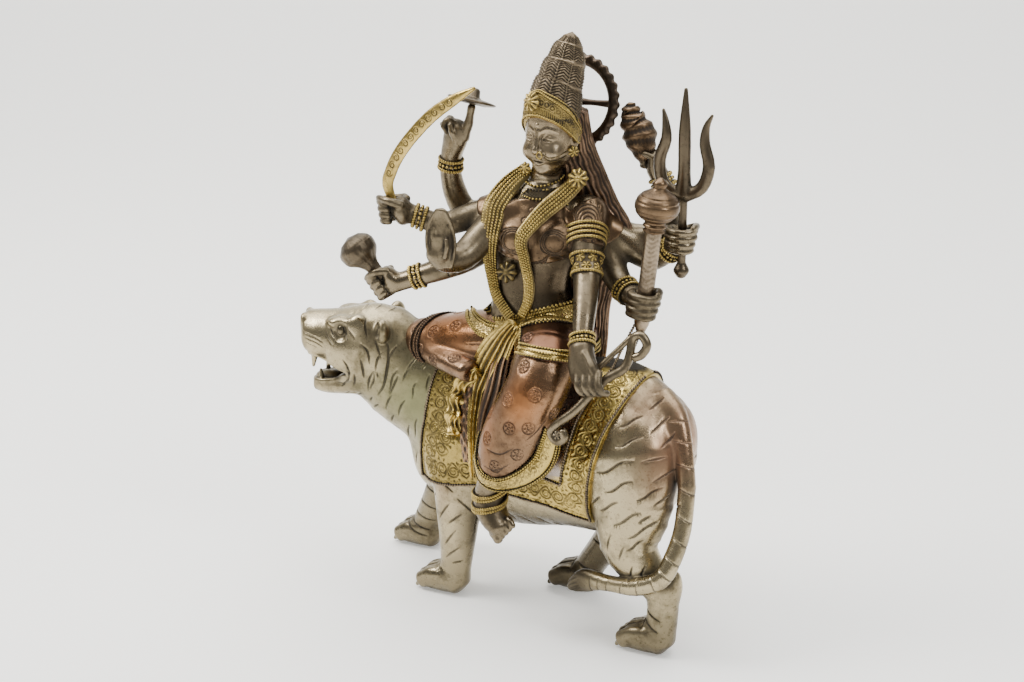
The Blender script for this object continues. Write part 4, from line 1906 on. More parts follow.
# %% Sash: a fan of pleats that narrows to a rope, a ruffled end, and the skirt's own pleats between them
SASH = [
    (-11, -28.6, 154, 4, 4), (-17, -29.6, 146.6, 6.2, 4), (-23, -28.4, 138.5, 7.6, 3.8),
    (-29, -26.4, 129.5, 7.6, 3.6), (-34.4, -24.4, 118, 6.2, 3.4), (-34.8, -26.6, 108, 5.0, 3.2),
    (-34.4, -29, 100, 4.2, 3), (-33, -31.4, 91, 3.6, 2.8), (-32.4, -32.2, 81, 3.2, 2.6),
    (-32.4, -32, 73, 2.4, 2.2),
]
RUFFLE = [
    (-32.5, -31.4, 128, 3.2, 3), (-40, -27.6, 121, 4.0, 3.2), (-45.4, -26, 113.6, 4.4, 3.4),
    (-46.4, -28.4, 107, 4.6, 3.4), (-45.8, -30.4, 100, 4.4, 3.4), (-44, -32.4, 93, 3.0, 2.6),
]
SIDE_PANEL = [
    (-38, -24.6, 119, 3, 3), (-40.4, -26, 110, 3.9, 3), (-39.6, -28.6, 100, 4.2, 3),
    (-37.6, -31, 90, 4.0, 2.8), (-36.4, -32, 80, 3, 2.2),
]
FRONT_PLEATS = [
    (-15.8, -28, 145, 3.4, 3.2), (-21, -27, 132, 4.4, 3.4), (-26, -25, 117, 5.0, 3.4),
    (-28.4, -28, 104, 4.6, 3), (-28, -31.4, 92, 3.6, 2.8), (-27, -33.6, 83, 2.6, 2.2),
]


LOFT_SHARE = 0.26
LOFT_LEAST = 6000


def lofted(name, material, rows, across, sides, steps, folds=None, depth=1.0, dome=0.5, node="goddess"):
    points, faces = loft(rows, across, sides, steps, folds, dome)
    piece = new_piece(name, points, faces)
    rings = (len(points) - 2) // sides
    shares = np.arange(rings) / (rings - 1)
    shift = np.concatenate([folds(share, around(sides)) if folds else np.zeros(sides) for share in shares])
    paint(piece, "hollow", np.concatenate([np.clip(-shift / depth, 0, 1), [0, 0]]))
    return finished(thinned(piece, max(LOFT_LEAST, int(LOFT_SHARE * len(faces)))), material, node)


def pleats(share, turn):
    """Fourteen narrow pleats round the form, each with the twist of a rope along its ridge."""
    fold = np.cos(14 * turn)
    stipple = 0.12 * np.sin(2 * pi * 60 * share + 5 * turn) * (fold > 0.3)
    return 0.75 * fold - 0.45 + stipple


def ruffles(share, turn):
    sway = 2.4 * sin(2 * pi * 3.2 * share)
    return 0.8 * np.cos(8 * turn + sway) + 0.7 * sin(2 * pi * 4.3 * share) - 0.2


def soft_pleats(share, turn):
    return 0.55 * np.cos(8 * turn) - 0.3


lofted("sash", BRASS, SASH, ALONG, 196, 22, pleats, 1.7, 0.3)
lofted("ruffle", BRASS, RUFFLE, ALONG, 96, 26, ruffles, 1.8, 0.4)
lofted("front_pleats", COPPER, FRONT_PLEATS, ALONG, 120, 14, soft_pleats, 0.9, 0.3)


def dotted(share, turn):
    """Low bosses in rows, as on the skirt."""
    return 0.3 * np.cos(2 * pi * 6 * share) * np.cos(6 * turn) - 0.1


lofted("side_panel", COPPER, SIDE_PANEL, ALONG, 120, 20, dotted, 0.4, 0.3)

# %% Scarf of rope, brooches and pendant
SCARF_RIGHT = [
    (-20, -4, 224, 1.2), (-25.5, -12, 217, 1.7), (-28.5, -19, 209, 1.9), (-28, -23, 202, 1.8),
    (-27.4, -26, 194, 1.5), (-29.5, -23, 184, 1.2), (-29.2, -21.5, 174, 0.95), (-26, -22.5, 165, 0.85),
    (-20, -24, 159, 0.8), (-16, -25, 156, 0.8),
]
SCARF_LEFT = [
    (9, -4, 223, 1.3), (4, -9.5, 216, 1.5), (-2.5, -15, 209, 1.5), (-7.2, -21, 202, 1.3),
    (-10.2, -25.2, 195, 1.1), (-9.6, -23, 185, 0.95), (-8.2, -21.2, 173, 0.9), (-8.4, -22, 164, 0.85),
    (-10.5, -23.8, 157.5, 0.8),
]


def strands(rows, count, lift):
    """Parallel lines beside a path, with outward directions. A row is x, y, z and the gap between lines."""
    path = curve_through(rows, 6)
    gap = path[:, 3:]
    path = path[:, :3]
    along = unit(np.gradient(path, axis=0))
    out = np.tile(unit(np.array([0.22, -0.95, 0.2])), (len(path), 1))
    out = unit(out - along * (out * along).sum(1)[:, None])
    aside = np.cross(along, out)
    found = []
    for k in range(count):
        shift = k - (count - 1) / 2
        bow = lift * (1 - (shift / count * 2) ** 2)
        found.append((path + aside * gap * shift + out * bow, out))
    return found


scarf_lines = strands(SCARF_RIGHT, 6, 0.9) + strands(SCARF_LEFT, 5, 0.9)
beads("scarf", scarf_lines, BRASS, 1.35, (0.92, 0.70, 0.95), lean=34)


def scarf_bed(rows):
    """The flat strip that the ropes lie on."""
    return [(*row[:3], 3 * row[3], 1.0) for row in rows]


for name, rows in (("scarf_bed_right", SCARF_RIGHT), ("scarf_bed_left", SCARF_LEFT)):
    lofted(name, OLD_BRASS, scarf_bed(rows), SHOULDER_LINE, 40, 8, None, 1.0, 0.3)


def flower(name, centre, facing, radius, material, petals=9):
    """A domed flower: a middle bead and rings of petals, facing one way."""
    facing = unit(facing)
    right = unit(np.cross(UP, facing))
    above = np.cross(facing, right)
    sides, rings = 8 * petals, 10
    radii = np.arange(1, rings + 1) / rings
    r, a = [v.reshape(-1, 1) for v in np.meshgrid(radii, around(sides), indexing="ij")]
    carve = 0.09 * np.cos(petals * a) * np.sin(pi * np.clip((r - 0.3) / 0.7, 0, 1))
    bead = np.where(r < 0.5, 0.10 * np.cos(pi * np.minimum(1.0, r / 0.28)), -0.10)
    petal = r * (1 + 0.10 * np.cos(petals * a) * r) * (np.cos(a) * right + np.sin(a) * above)
    skin = petal + facing * (0.40 * (1 - r * r) + carve + bead)
    points = np.asarray(centre, float) + radius * np.vstack([0.42 * facing, skin, -0.5 * facing])
    last = 1 + (rings - 1) * sides
    faces = [fan(1, sides, 0), 1 + grid_faces(rings, sides)[:, ::-1],
             fan(last, sides, len(points) - 1, flip=True)]
    piece = new_piece(name, points, np.vstack(faces))
    paint(piece, "hollow", [0.0, *np.clip(0.22 - 6 * carve - 1.5 * bead, 0, 1).ravel(), 1.0])
    return finished(piece, material)


flower("brooch", (10.5, -8.5, 224), (0.5, -0.85, 0.2), 4.6, BRASS)
flower("brooch_right", (-19.5, -8, 225), (0.1, -0.95, 0.3), 2.9, BRASS, 7)
flower("pendant", (-19.4, -23.6, 177.5), (0.25, -0.92, 0.2), 5.0, OLD_BRASS, 8)

# %% Bangles and armlets
CUFFS = {
    "disc": (4, 0.30), "sword": (2, 0.95), "lotus": (3, 0.90), "conch": (4, 0.6), "trident": (3, 0.5),
    "mace": (3, 0.85), "bow": (4, 0.25),
}
CUFF_RINGS = 3
CUFF_STEP = 2.3


def round_arm(rows, stretch, share, shift):
    """A ring of points round an arm, moved along it by `shift` millimetres."""
    rows = [np.asarray(row, float) for row in rows]
    a, b = rows[stretch], rows[stretch + 1]
    along = unit(b[:3] - a[:3])
    middle_point = a[:3] + (b[:3] - a[:3]) * share + along * shift
    u = unit(np.cross(along, UP if abs(along[2]) < 0.8 else ALONG))
    v = np.cross(along, u)
    turn = around(28)
    out = np.outer(np.cos(turn), u) + np.outer(np.sin(turn), v)
    return middle_point + out * (a[3] + (b[3] - a[3]) * share), out


rings = []
studs = []
for name, (stretch, share) in CUFFS.items():
    for k in range(CUFF_RINGS):
        shift = (k - (CUFF_RINGS - 1) / 2) * CUFF_STEP
        ring, out = round_arm(ARMS[name], stretch, share, shift)
        ring = rider.settle(ring, 5) + out * 0.5
        (studs if k % 2 else rings).append((ring, out))
for z in (68.8, 74.6):
    path = [(-14 + 9 * cos(a), -45 + 9 * sin(a), z + cos(a) + 2.2 * sin(a)) for a in around(32)]
    ring = rider.settle(path, 6)
    out = rider.slope(ring)
    for shift in (-0.8, 0.8):
        rings.append((ring + out * 0.5 + (0, 0, shift), out))
beads("bangle_rings", rings, BRASS, 1.15, (0.8, 1.15, 1.1), lean=28, closed=True)
beads("bangle_studs", studs, BRASS, 2.0, (0.95, 0.95, 0.95), closed=True)

armlets = []
for shift in (-3.6, -1.2, 1.2, 3.6):
    ring, out = round_arm(ARMS["bow"], 0, 0.72, shift)
    armlets.append((rider.settle(ring, 5) + out * 0.9, out))
for shift in (-4.4, 4.4):
    ring, out = round_arm(ARMS["bow"], 1, 0.62, shift)
    armlets.append((rider.settle(ring, 5) + out * 0.6, out))
beads("armlets", armlets, BRASS, 1.25, (1.2, 1.0, 1.1), lean=20, closed=True)
for k, shift in enumerate((-2.2, 2.2)):
    for j in range(7):
        ring, out = round_arm(ARMS["bow"], 1, 0.62, shift)
        at = (4 * j + 2 * k) % 28
        place = rider.settle(ring[at:at + 1], 5)[0]
        flower(f"armlet_flower_{k}_{j}", place + out[at] * 0.2, out[at], 2.3, BRASS, 6)

# %% Hair and crown
HAIR = [
    (-5, 6, 252, 11, 7), (-5, 9, 238, 12, 8), (-5, 12, 224, 17, 7.5), (-4, 14, 207, 23.5, 7),
    (-2, 15, 192, 29, 6.5), (0, 15, 176, 22, 7), (2, 13, 158, 14, 8), (3, 12, 138, 12, 8),
    (3, 10, 126, 11, 8),
]
CROWN = [
    (-6.2, -3.7, 252, 12.2, 13.0), (-5.6, -3, 259, 12.2, 12.8), (-5.0, -2, 264, 11.6, 12.0),
    (-4.6, -1, 266.5, 10.6, 10.8), (-4.2, 1, 272, 10.2, 10.2), (-3.6, 2.5, 276, 9.0, 8.8),
    (-3.2, 3.5, 281, 7.6, 7.4), (-2.8, 4.4, 284, 5.8, 5.6), (-2.4, 5, 287.2, 3.4, 3.2),
]


def locks(share, turn):
    """Combed hair: broad locks, and wavy strands in them."""
    sway = 0.5 * sin(2 * pi * 1.7 * share)
    broad = 0.2 * np.cos(9 * turn + sway)
    wave = 1.0 * np.sin(2 * pi * 13 * share + 2.0 * np.cos(5 * turn))
    return broad + 0.38 * np.cos(32 * turn + 3 * sway + wave) - 0.30


def combed_tiers(share, turn):
    """Upright columns of slanting strokes like feathers, parted by plain rings between the tiers."""
    u = (turn * 5 / pi) % 1.0
    side = np.abs(2 * u - 1)
    strokes = 0.42 * np.cos(2 * pi * (share * 34 + 1.3 * side))
    spine = 0.35 * np.exp(-((side - 1) / 0.14) ** 2) - 0.45 * np.exp(-((side - 0.82) / 0.08) ** 2)
    ring = max(exp(-((share - at) / 0.018) ** 2) for at in (0.34, 0.62, 0.86))
    return (1 - ring) * (strokes + spine) + 0.7 * ring - 0.15


lofted("hair", HAIR_COPPER, HAIR, ALONG, 320, 30, locks, 1.0, 0.4)
lofted("crown", CROWN_BRONZE, CROWN, ALONG, 280, 20, combed_tiers, 0.6, 0.7)

# %% Her head
HEAD = np.array([-7.0, -4.0, 240.0])
FACE = [
    (0, -3.4, -14.2, 4.8, 5.0), (0, -2.6, -10.6, 8.2, 8.6), (0, -1.5, -5.6, 10.8, 11.0),
    (0, -0.6, 0, 12.0, 12.2), (0, 0, 6, 12.0, 12.8), (0, 0, 12, 11.6, 12.6), (0, 0, 18, 10, 11),
]


def front_of(block, right, up):
    """The foremost point of the face at one place: to her left and up from the middle of the head."""
    y = np.arange(-26.0, 0.0, 0.1)
    line = np.column_stack([np.full(len(y), HEAD[0] + right), y, np.full(len(y), HEAD[2] + up)])
    return line[(block.at(line) < 0).argmax()]


FACE_STRETCH = 1.13
BROW = 8.0
EYE_OUT, EYE_UP = 4.9, 3.0
NOSE = [
    (0, 6.2, -0.5, 1.0), (0, 3.0, -0.1, 1.1), (0, 0, 0.8, 1.35), (0, -2.0, 1.5, 1.6), (0, -3.0, 1.0, 1.3),
]
EYEBROW = [(1.9, 5.7, -0.35, 0.5), (4.9, 7.0, -0.25, 0.6), (9.0, 5.6, -0.3, 0.4)]
UPPER_LID = [(2.0, 2.5, 0.1, 0.34), (3.6, 4.1, 0.15, 0.42), (5.8, 4.3, 0.15, 0.42), (8.2, 3.0, 0.05, 0.3)]
LOWER_LID = [(2.1, 2.3, 0.1, 0.26), (4.2, 1.3, 0.1, 0.32), (6.4, 1.7, 0.1, 0.28), (8.0, 2.8, 0.05, 0.24)]
UPPER_LIP = [
    (-3.2, -6.7, 0.0, 0.45), (-1.1, -6.0, 0.45, 0.62), (0, -6.25, 0.4, 0.6), (1.1, -6.0, 0.45, 0.62),
    (3.2, -6.7, 0.0, 0.45),
]


def lowered(up):
    """Heights on the face below the brow, stretched so that the chin comes to its place."""
    return BROW - (BROW - up) * FACE_STRETCH if up < BROW else up


def eye_place(block, side):
    return front_of(block, EYE_OUT * side, lowered(EYE_UP))


def feature(block, rows, blend, cut=False):
    """A small limb that lies on the face. A row is right, up, how far proud, and its thickness."""
    placed = [(*(front_of(block, right, lowered(up)) - (0, proud, 0)), thick)
              for right, up, proud, thick in rows]
    form = Limb(placed, across=SIDEWAYS, steps=4)
    return block.cut(form, blend) if cut else block.add(form, blend)


def mirrored(rows, side):
    return [(right * side, *rest) for right, *rest in rows]


def head_block():
    block = Block((-25, -23, 216), (8, 13, 262), 0.66)
    block.add(Limb([tuple(HEAD + row[:3]) + row[3:] for row in FACE], across=ALONG, dome=0.4), 0)
    block.add(Limb([(-12, -0.8, 216, 8.0, 7.8), (-11.4, -1.4, 222, 7.2, 7.2), (-10, -3, 233, 7, 7)],
                   across=ALONG, dome=0.1), 2)
    x, y, z = HEAD
    for side in (-1, 1):
        block.add(Egg((x + side * 5.8, y - 8.6, z - 4.6), (4.2, 4.0, 4.2)), 3)
    block.add(Egg((x, y - 8.2, z - 13.0), (3.2, 3.0, 2.8)), 2.5)
    fine = block.finer()
    for side in (-1, 1):
        eye = eye_place(fine, side)
        fine.cut(Egg(eye + (0, -0.9, 0), (3.7, 1.9, 2.0)), 1.4)
    feature(fine, NOSE, 1.1)
    for side in (-1, 1):
        feature(fine, [(1.6 * side, -2.2, 0.2, 1.0), (2.0 * side, -2.9, 0.1, 0.9)], 0.8)
        feature(fine, mirrored(EYEBROW, side), 0.9)
        eye = eye_place(fine, side)
        fine.add(Egg(eye + (0, 0.75, 0), (2.9, 1.7, 1.35)), 0.25)
        feature(fine, mirrored(UPPER_LID, side), 0.3)
        feature(fine, mirrored(LOWER_LID, side), 0.3)
    feature(fine, UPPER_LIP, 0.5)
    feature(fine, [(-2.7, -7.3, 0.0, 0.5), (0, -7.9, 0.35, 0.95), (2.7, -7.3, 0.0, 0.5)], 0.5)
    feature(fine, [(-3.3, -6.9, 0.1, 0.26), (0, -7.0, 0.2, 0.3), (3.3, -6.9, 0.1, 0.26)], 0.3, cut=True)
    feature(fine, [(0, 8.6, 0.1, 0.9), (0, 7.9, 0.1, 0.7)], 0.3)
    for side in (-1, 1):
        ear = np.array([x + side * 11.9, y + 0.6, z + 1])
        fine.add(Egg(ear, (1.7, 2.9, 4.6), turned(yaw=-0.35 * side)), 0.8)
        fine.cut(Egg(ear + (side * 1.5, -0.8, 0.8), (1.1, 1.5, 2.6), turned(yaw=-0.35 * side)), 0.5)
        fine.add(Egg(ear + (0, -0.6, -4.4), (1.5, 1.8, 2.0)), 0.6)
    return fine


head = head_block()
eyes = []
for side in (-1, 1):
    iris = eye_place(head, side)
    ring = [iris + (1.05 * cos(a), 0, 1.05 * sin(a)) for a in np.linspace(0, 2 * pi, 12)]
    eyes.append((np.array(ring), 0.5, 0.12))
for side in (-1, 1):
    lid = [front_of(head, (3.2 * cos(a) + EYE_OUT) * side, 7.4 + 0.6 * sin(a)) for a in (0, 1, 2)]
    eyes.append((np.array(lid), 0.4, 0.1))
finished(hollow_skin("head", head, 1.8, cuts=eyes), FACE_METAL)


TIARA_TOP, TIARA_TOP_FALL, TIARA_PEAK = 265.2, 1.04, 1.6
TIARA_BROW, TIARA_BROW_FALL = 252.6, 0.90


def tiara_edges(x, y):
    """Heights of the tiara's lower and upper edge: both fall towards the back, the upper one has a peak."""
    fall = y + 17.5
    peak = np.exp(-((x - HEAD[0]) / 4.0) ** 2)
    return TIARA_BROW - TIARA_BROW_FALL * fall, TIARA_TOP - TIARA_TOP_FALL * fall + TIARA_PEAK * peak


def tiara_block():
    """A band that stands tall over the brow and slopes down behind the ears."""
    block = Block((-27, -24, 236), (10, 15, 270), 0.9)
    block.add(Limb([tuple(HEAD + row[:3]) + (row[3] + 1.5, row[4] + 1.3) for row in FACE[3:]], across=ALONG,
                   dome=0.1), 0)
    block.add(Limb([(*row[:3], row[3] + 0.9, row[4] + 0.9) for row in CROWN[:3]], across=ALONG, dome=0.1), 1)
    fine = block.finer()
    x, y, z = fine.axes()
    low, high = tiara_edges(x, y)
    return fine.kept_within(np.maximum(z - high, low - z), 0.5)


def tiara_line(share, count=40, reach=115):
    """A line round the tiara, from its lower edge (0) to its upper edge (1)."""
    line = []
    for a in np.radians(np.linspace(-90 - reach, -90 + reach, count)):
        x, y = HEAD[0] + 13.6 * cos(a), HEAD[1] + 14 * sin(a)
        low, high = tiara_edges(x, y)
        line.append((x, y, low + (high - low) * share))
    return line


tiara = tiara_block()
tiara_wires = []
for share in (0.30, 0.70):
    tiara_wires.append((tiara.settle(tiara_line(share), 6), 0.6, 0.3))
low_line, high_line = tiara_line(0.10, 60), tiara_line(0.28, 60)
for p, q in zip(low_line, high_line):
    tiara_wires.append((tiara.settle(np.linspace(p, q, 4), 4), 0.6, 0.35))
for p in tiara_line(0.5, 21):
    tiara_wires += laid(tiara, p, [circle(1.5, 10), circle(0.4, 5)], (0.6, 0.4))
finished(hollow_skin("tiara", tiara, 1.8, wires=tiara_wires), BRASS)
tiara_ropes = [rope_on(tiara, tiara_line(share, 30), 2, 0.2) for share in (0.03, 0.80, 0.97)]
beads("tiara_ropes", tiara_ropes, BRASS, 1.15, (0.9, 0.6, 0.65), lean=25)
flower("tiara_flower", (HEAD[0] - 2.5, -18.2, 259.6), (-0.15, -1, 0.25), 4.6, BRASS, 10)

NOSE_RING = [front_of(head, 2.4, lowered(-2.6)) + np.array([1.5 * cos(a), -0.8, -1.3 + 1.6 * sin(a)])
             for a in around(20)]
nose_ring = (np.array(NOSE_RING), np.tile([0.0, -1.0, 0.0], (20, 1)))
beads("nose_ring", [nose_ring], BRASS, 0.6, (0.5, 0.42, 0.42), closed=True)
CHEEK_CHAINS = [[(3.6, -3.6), (6.5, -4.6), (9.0, -4.2), (11.0, -2.6)],
                [(3.9, -4.8), (6.5, -6.0), (8.8, -5.8), (10.4, -4.6)]]
chains = []
for chain in CHEEK_CHAINS:
    path = curve_through([front_of(head, right, lowered(up)) for right, up in chain], 5)
    out = head.slope(path)
    chains.append((path + out * 0.2, out))
beads("cheek_chains", chains, OLD_BRASS, 0.75, (0.42, 0.36, 0.36))
for side in (-1, 1):
    flower(f"earring_{side + 1}", (HEAD[0] + side * 13.2, -5.6, 235.6), (side * 0.75, -0.65, 0), 2.6, BRASS,
           7)

# %% Necklace and collar
collars = []
for drop, reach in ((0.0, 0.0), (2.4, 0.6), (4.6, 1.2)):
    line = []
    for a in np.radians(np.linspace(-205, 25, 26)):
        line.append((-12 + (10 + reach) * cos(a), -1.5 + (10 + reach) * sin(a), 220.6 - drop + 2.2 * sin(a)))
    collars.append(rope_on(bodice if drop > 1 else rider, line, 2, 0.4))
beads("collar", collars, BRASS, 1.7, (0.75, 0.75, 0.8))

# %% Things cast on her hands
CONCH = [
    (28, 24, 229, 3.5, 3.5), (26, 24, 235, 6.4, 6), (24, 24, 241, 8.2, 7.6), (22, 23.5, 246, 6, 5.8),
    (21, 23, 247.5, 6.4, 6), (20, 23, 251, 4.2, 4), (19.5, 23, 252, 4.6, 4.2), (18.8, 23, 255, 2, 2),
]
LOTUS = [
    (-81, -40.5, 168.5, 3.2, 3.2), (-85, -42, 173.4, 3.4, 3.4), (-87.4, -42.8, 176.2, 4.8, 4.8),
    (-90, -43.6, 179.2, 8.4, 8.4), (-92.6, -44.6, 182, 9.4, 9.4), (-94.4, -45.2, 184.2, 8.8, 8.8),
    (-96.4, -45.8, 186.4, 5.6, 5.6),
]
BOW = [
    (57, -33, 151.5), (60.5, -32, 153.5), (62.5, -31, 158), (59.5, -31, 162), (55.5, -31.5, 160),
    (55, -33.5, 152.5), (53.5, -36, 146.5), (47, -40, 141.5), (41, -44, 134), (35, -48, 126),
    (28, -50.5, 119.5), (24, -51, 114.5), (27, -51, 110.5), (31, -50.5, 112.5), (30, -50.5, 116),
]
BOWSTRING = [(55, -31.5, 161, 1.4), (47, -36.2, 151.5, 1.3), (39, -41, 142, 1.3)]


def whorls(share, turn):
    """Ribs that wind up the shell and fade towards its lip."""
    wind = 2 * pi * 8 * share + turn
    return 0.55 * np.cos(wind) * min(1.0, 0.4 + 1.2 * share) + 0.12 * np.cos(24 * turn)


def petals(share, turn):
    """Two rounds of petals, the outer one ending lower."""
    outer = 0.30 * np.abs(np.sin(4 * turn)) ** 0.5 * (1 if share < 0.75 else 0.4)
    return outer - 0.2 + 0.06 * np.cos(40 * turn)


lofted("conch", BRONZE, CONCH, ALONG, 96, 12, whorls, 0.6, 0.4)
lofted("lotus", DARK_BRONZE, LOTUS, ALONG, 120, 12, petals, 0.9, 0.3)
lofted("bow", SKIN, [(*row, 2.1) for row in BOW], SIDEWAYS, 24, 8, None, 1.0, 0.8)
lofted("bowstring", SKIN, BOWSTRING, SIDEWAYS, 14, 6, None, 1.0)
flower("bow_flower", (28.4, -52.4, 114), (0.3, -0.9, 0.2), 2.2, SKIN, 6)


# %% Disc, mace, trident and sword
def turned_form(name, material, low, high, profile, node="mace", sides=72, folds=None, depth=1.0):
    """A form turned on a lathe: a list of height along the axis and radius."""
    low = np.asarray(low, float)
    axis = unit(np.asarray(high, float) - low)
    rows = [(*(low + axis * h), r) for h, r in profile]
    across = SIDEWAYS if abs(axis[1]) < 0.7 else ALONG
    return lofted(name, material, rows, across, sides, 1, folds, depth, 0.3, node)


DISC_BASE = np.array([-48.6, -10, 254.3])
DISC_FACING = np.array([0.08, 0.30, 0.95])
DISC_PROFILE = [
    (-1.7, 1.0), (-1.6, 6.8), (-0.6, 11.2), (0, 12.0), (0.6, 11.2), (1.2, 7.4), (1.5, 4.4), (2.4, 3.4),
    (5.4, 2.9), (6.2, 2.0), (6.3, 0.6),
]
turned_form("disc", DARK_BRONZE, DISC_BASE, DISC_BASE + DISC_FACING, DISC_PROFILE, "goddess")
MACE_LENGTH = float(np.linalg.norm(MACE_HIGH - MACE_LOW))
MACE_HEAD = MACE_LENGTH - 14.04
MACE_RINGS = [
    (-12.6, 3.6), (-12.2, 4.9), (-11.4, 5.3), (-10.8, 4.3), (-10.2, 4.6), (-9.4, 5.6), (-8.6, 5.2),
    (-8.0, 4.4),
]
MACE_BUD = [(7.4, 4.6), (8.2, 3.3), (9.4, 2.9), (10.6, 3.7), (12.0, 2.6), (13.4, 0.8)]


def mace_shaft_profile():
    rows = [(-0.8, 0.8), (0, 2.1), (4, 3.6)]
    rows += [(h, 3.9) for h in np.arange(6, MACE_HEAD - 12, 0.6)]
    return rows + [(MACE_HEAD - 11.5, 3.4)]


def mace_head_profile():
    """Two rings, a globe with grooves round its middle, and a bud on top."""
    rows = MACE_RINGS[:]
    for a in np.linspace(-62, 62, 41):
        groove = 0.35 if abs(abs(a) - 17) < 3 or abs(abs(a) - 40) < 3 else 0.0
        rows.append((7.6 * sin(radians(a)), 10.4 * (0.06 + 0.94 * cos(radians(a)) ** 0.9) - groove))
    return [(MACE_HEAD + height, radius) for height, radius in rows + MACE_BUD]


def engraved(share, turn):
    """Scalloped rings cut into the shaft."""
    return -0.09 * (1 + np.cos(2 * pi * 20 * share + 2 * np.sin(4 * turn))) / 2


turned_form("mace_shaft", SHAFT_NICKEL, MACE_LOW, MACE_HIGH, mace_shaft_profile(), sides=96, folds=engraved,
            depth=0.3)
turned_form("mace_head", BRONZE, MACE_LOW, MACE_HIGH, mace_head_profile())
fork = TRIDENT_LOW + 0.46 * (TRIDENT_HIGH - TRIDENT_LOW)
PRONGS = [
    [(53.5, 15, 218, 4.4, 3.6), (54, 14.5, 228, 3.1, 2.7), (54, 14, 248, 2.9, 2.5), (54, 14, 267, 0.9, 0.9)],
    [(52, 15, 217, 3, 2.4), (44, 13, 222, 3, 2.4), (42, 12.5, 233, 3, 2.4), (45.5, 12, 243, 2.7, 2.1),
     (45, 12, 251, 1.8, 1.5), (43.5, 12, 257, 0.7, 0.7)],
    [(55, 15, 217, 3, 2.4), (63, 15.5, 222, 3, 2.4), (66, 16, 232, 3, 2.4), (63.5, 16, 242, 2.7, 2.1),
     (64, 16, 250, 1.8, 1.5), (67, 16, 256, 0.7, 0.7)],
]


def trident_block():
    block = Block((34, 6, 172), (74, 26, 274), 0.9)
    block.add(Limb([(*TRIDENT_LOW, 2.1), (*fork, 2.1)], steps=1), 0)
    axis = unit(TRIDENT_HIGH - TRIDENT_LOW)
    block.add(Limb([(*(TRIDENT_LOW + axis * h), r) for h, r in ((-1.4, 2.6), (0.6, 3.8), (2.8, 2.8))],
                   steps=2), 0.3)
    for rows in PRONGS:
        block.add(Limb(rows, across=ALONG), 1.2)
    return block.finer()


finished(hollow_skin("trident_solid", trident_block(), 2.0), DARK_BRONZE, "trident")

SWORD_PATH = [
    (-76, -36, 204.5, 2.0), (-80, -36, 214, 3.2), (-78, -36, 221, 3.4), (-73, -36, 230, 3.4),
    (-64, -35.5, 241, 3.4), (-54, -34, 251, 3.3), (-43, -32, 259, 2.7), (-33, -30, 265, 0.9),
]


def sword_block():
    block = Block((-90, -44, 198), (-26, -24, 272), 0.8)
    block.add(Limb([(x, y, z, 1.25, w) for x, y, z, w in SWORD_PATH], across=SIDEWAYS, steps=5, dome=0.3), 0)
    return block.finer()


sword = sword_block()
blade = curve_through([row[:3] for row in SWORD_PATH], 6)
sword_cuts = []
for face in (-1, 1):
    line = sword.settle(blade[10:-6] + (0, 1.5 * face, 0), 8)
    for k, node in enumerate(evenly(line, 4.6)):
        sword_cuts += laid(sword, node, [spiral(2.0, 1.6, 1 if k % 2 else -1, 0.9 * k)], (0.75, 0.35))
finished(hollow_skin("sword_blade", sword, 1.2, cuts=sword_cuts), BRASS, "sword")


# %% Halo wheel
WHEEL_CENTRE = np.array([-9.0, 19, 254])
WHEEL_AXES = turned(yaw=radians(7), roll=radians(-8))
WHEEL_RADIUS = 23.6
WHEEL_RIM = 5.6
WHEEL_THICKNESS = 3.2
WHEEL_TEETH = 60
RIM_SIDES = 16


def on_wheel(right, up, back=0.0):
    return WHEEL_CENTRE + np.array([right, back, up]) @ WHEEL_AXES


def halo_wheel():
    half = WHEEL_RIM / 2
    points = []
    for a in around(6 * WHEEL_TEETH):
        for b in around(RIM_SIDES):
            out, back = half * cos(b), 0.5 * WHEEL_THICKNESS * sin(b)
            tooth = 0.5 * cos(WHEEL_TEETH / 2 * a + 0.5 * back) * max(0.0, (out + half) / WHEEL_RIM)
            r = WHEEL_RADIUS - half + out + tooth - 0.5
            points.append(on_wheel(r * cos(a), r * sin(a), back))
    pieces = [new_piece("halo_rim", np.array(points), grid_faces(6 * WHEEL_TEETH, RIM_SIDES, loop=True))]
    reach = WHEEL_RADIUS - WHEEL_RIM + 1
    for k, angle in enumerate((0.0, pi / 2)):
        ends = [on_wheel(reach * s * cos(angle), reach * s * sin(angle)) for s in (-1, -0.5, 0, 0.5, 1)]
        rows = [(*end, width, 1.1) for end, width in zip(ends, (1.9, 1.4, 2.0, 1.4, 1.9))]
        across = on_wheel(-sin(angle), cos(angle)) - WHEEL_CENTRE
        pieces.append(new_piece(f"halo_spoke_{k}", *loft(rows, across, 24, 6, None, 0.1)))
    nape = np.array([-7.5, 5, 257])
    hub = [(*WHEEL_CENTRE, 3.4), (*((WHEEL_CENTRE + nape) / 2), 3.2), (*nape, 3.4)]
    pieces.append(new_piece("halo_hub", *loft(hub, ALONG, 24, 4, None, 0.4)))
    return finished(merged("halo_wheel_solid", pieces), BLACKENED, "halo_wheel")


halo_wheel()

# %% [markdown]
# ## Table, backdrop and light
# The figure stands on a pale sheet that curves up behind it, under one broad soft light from the
# upper left, with a weaker one from the right, as in a small photographer's tent.

# %% Stage
FLOOR_SIZE = 5.0
WALL_HEIGHT = 3.0
WALL_START = 1.0
WALL_BEND = 0.6


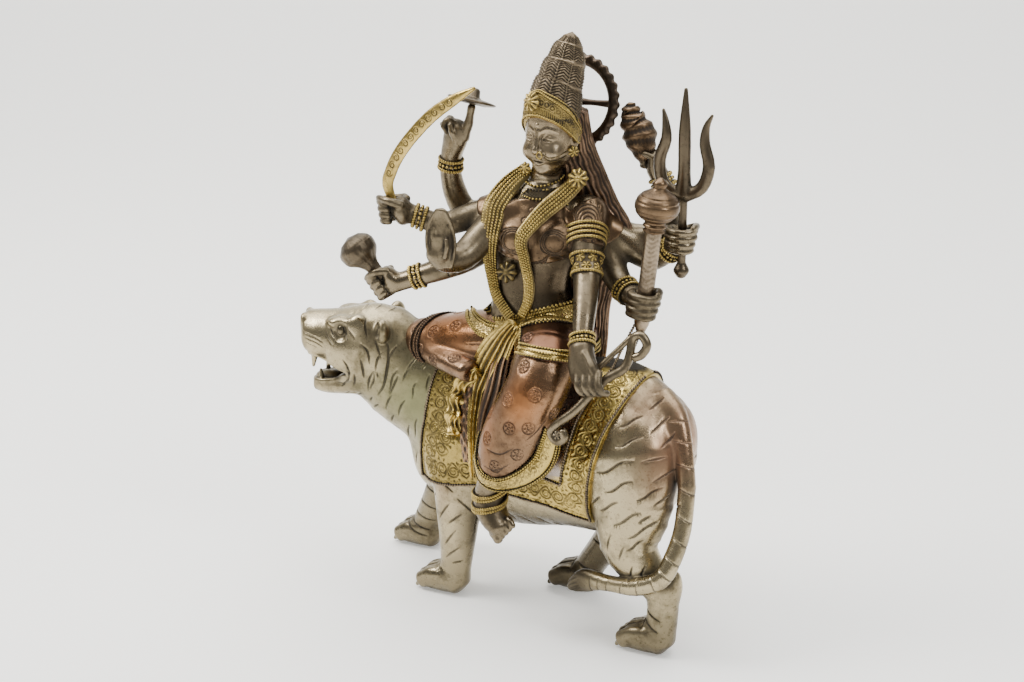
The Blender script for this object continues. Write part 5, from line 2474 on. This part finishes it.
def add_stage():
    finish = Finish("pale sheet")
    finish.shader.inputs["Base Color"].default_value = (0.84, 0.83, 0.795, 1.0)
    finish.shader.inputs["Roughness"].default_value = 0.85
    finish.shader.inputs["Emission Color"].default_value = (1.0, 1.0, 0.97, 1.0)
    finish.shader.inputs["Emission Strength"].default_value = 0.35
    profile = [(-FLOOR_SIZE, 0.0), (WALL_START, 0.0)]
    profile += [(WALL_START + WALL_BEND * sin(a), WALL_BEND * (1 - cos(a)))
                for a in np.linspace(0.1, pi / 2, 14)]
    profile += [(WALL_START + WALL_BEND, WALL_HEIGHT)]
    points = [(x, y, z) for x in (-FLOOR_SIZE, FLOOR_SIZE) for y, z in profile]
    turn = np.array([[cos(CAMERA_TURN), sin(CAMERA_TURN), 0], [-sin(CAMERA_TURN), cos(CAMERA_TURN), 0],
                     [0, 0, 1]])
    count = len(profile)
    mesh = bpy.data.meshes.new("sheet")
    mesh.from_pydata((np.array(points) @ turn).tolist(), [],
                     [(k, k + count, k + count + 1, k + 1) for k in range(count - 1)])
    mesh.shade_smooth()
    sheet = new_object("sheet", mesh)
    mesh.materials.append(finish.material)


def add_light(name, place, aim, size, power, shade=(1.0, 1.0, 1.0)):
    data = bpy.data.lights.new(name, "AREA")
    data.shape = "DISK"
    data.size = size
    data.energy = power
    data.color = shade
    lamp = bpy.data.objects.new(name, data)
    lamp.location = place
    away = np.array(place) - np.array(aim)
    lamp.rotation_euler = (acos(away[2] / np.linalg.norm(away)), 0, atan2(away[1], away[0]) + pi / 2)
    bpy.context.scene.collection.objects.link(lamp)


add_stage()
add_light("tent light", (-0.2, 0.3, 1.9), (0.0, 0.1, 0.0), 2.4, 70.0)
add_light("broad light", (-0.65, -0.45, 1.0), (0.0, 0.0, 0.12), 0.55, 15.0, (1.0, 0.985, 0.96))
add_light("rim light", (0.9, -0.1, 0.9), (0.0, 0.0, 0.15), 0.35, 5.0, (0.98, 0.99, 1.0))
world = bpy.data.worlds.new("tent")
bpy.context.scene.world = world
world.use_nodes = True
world.node_tree.nodes["Background"].inputs["Color"].default_value = (0.93, 0.94, 0.95, 1.0)
world.node_tree.nodes["Background"].inputs["Strength"].default_value = 0.34

# %% Check and hand over
bpy.context.view_layer.update()
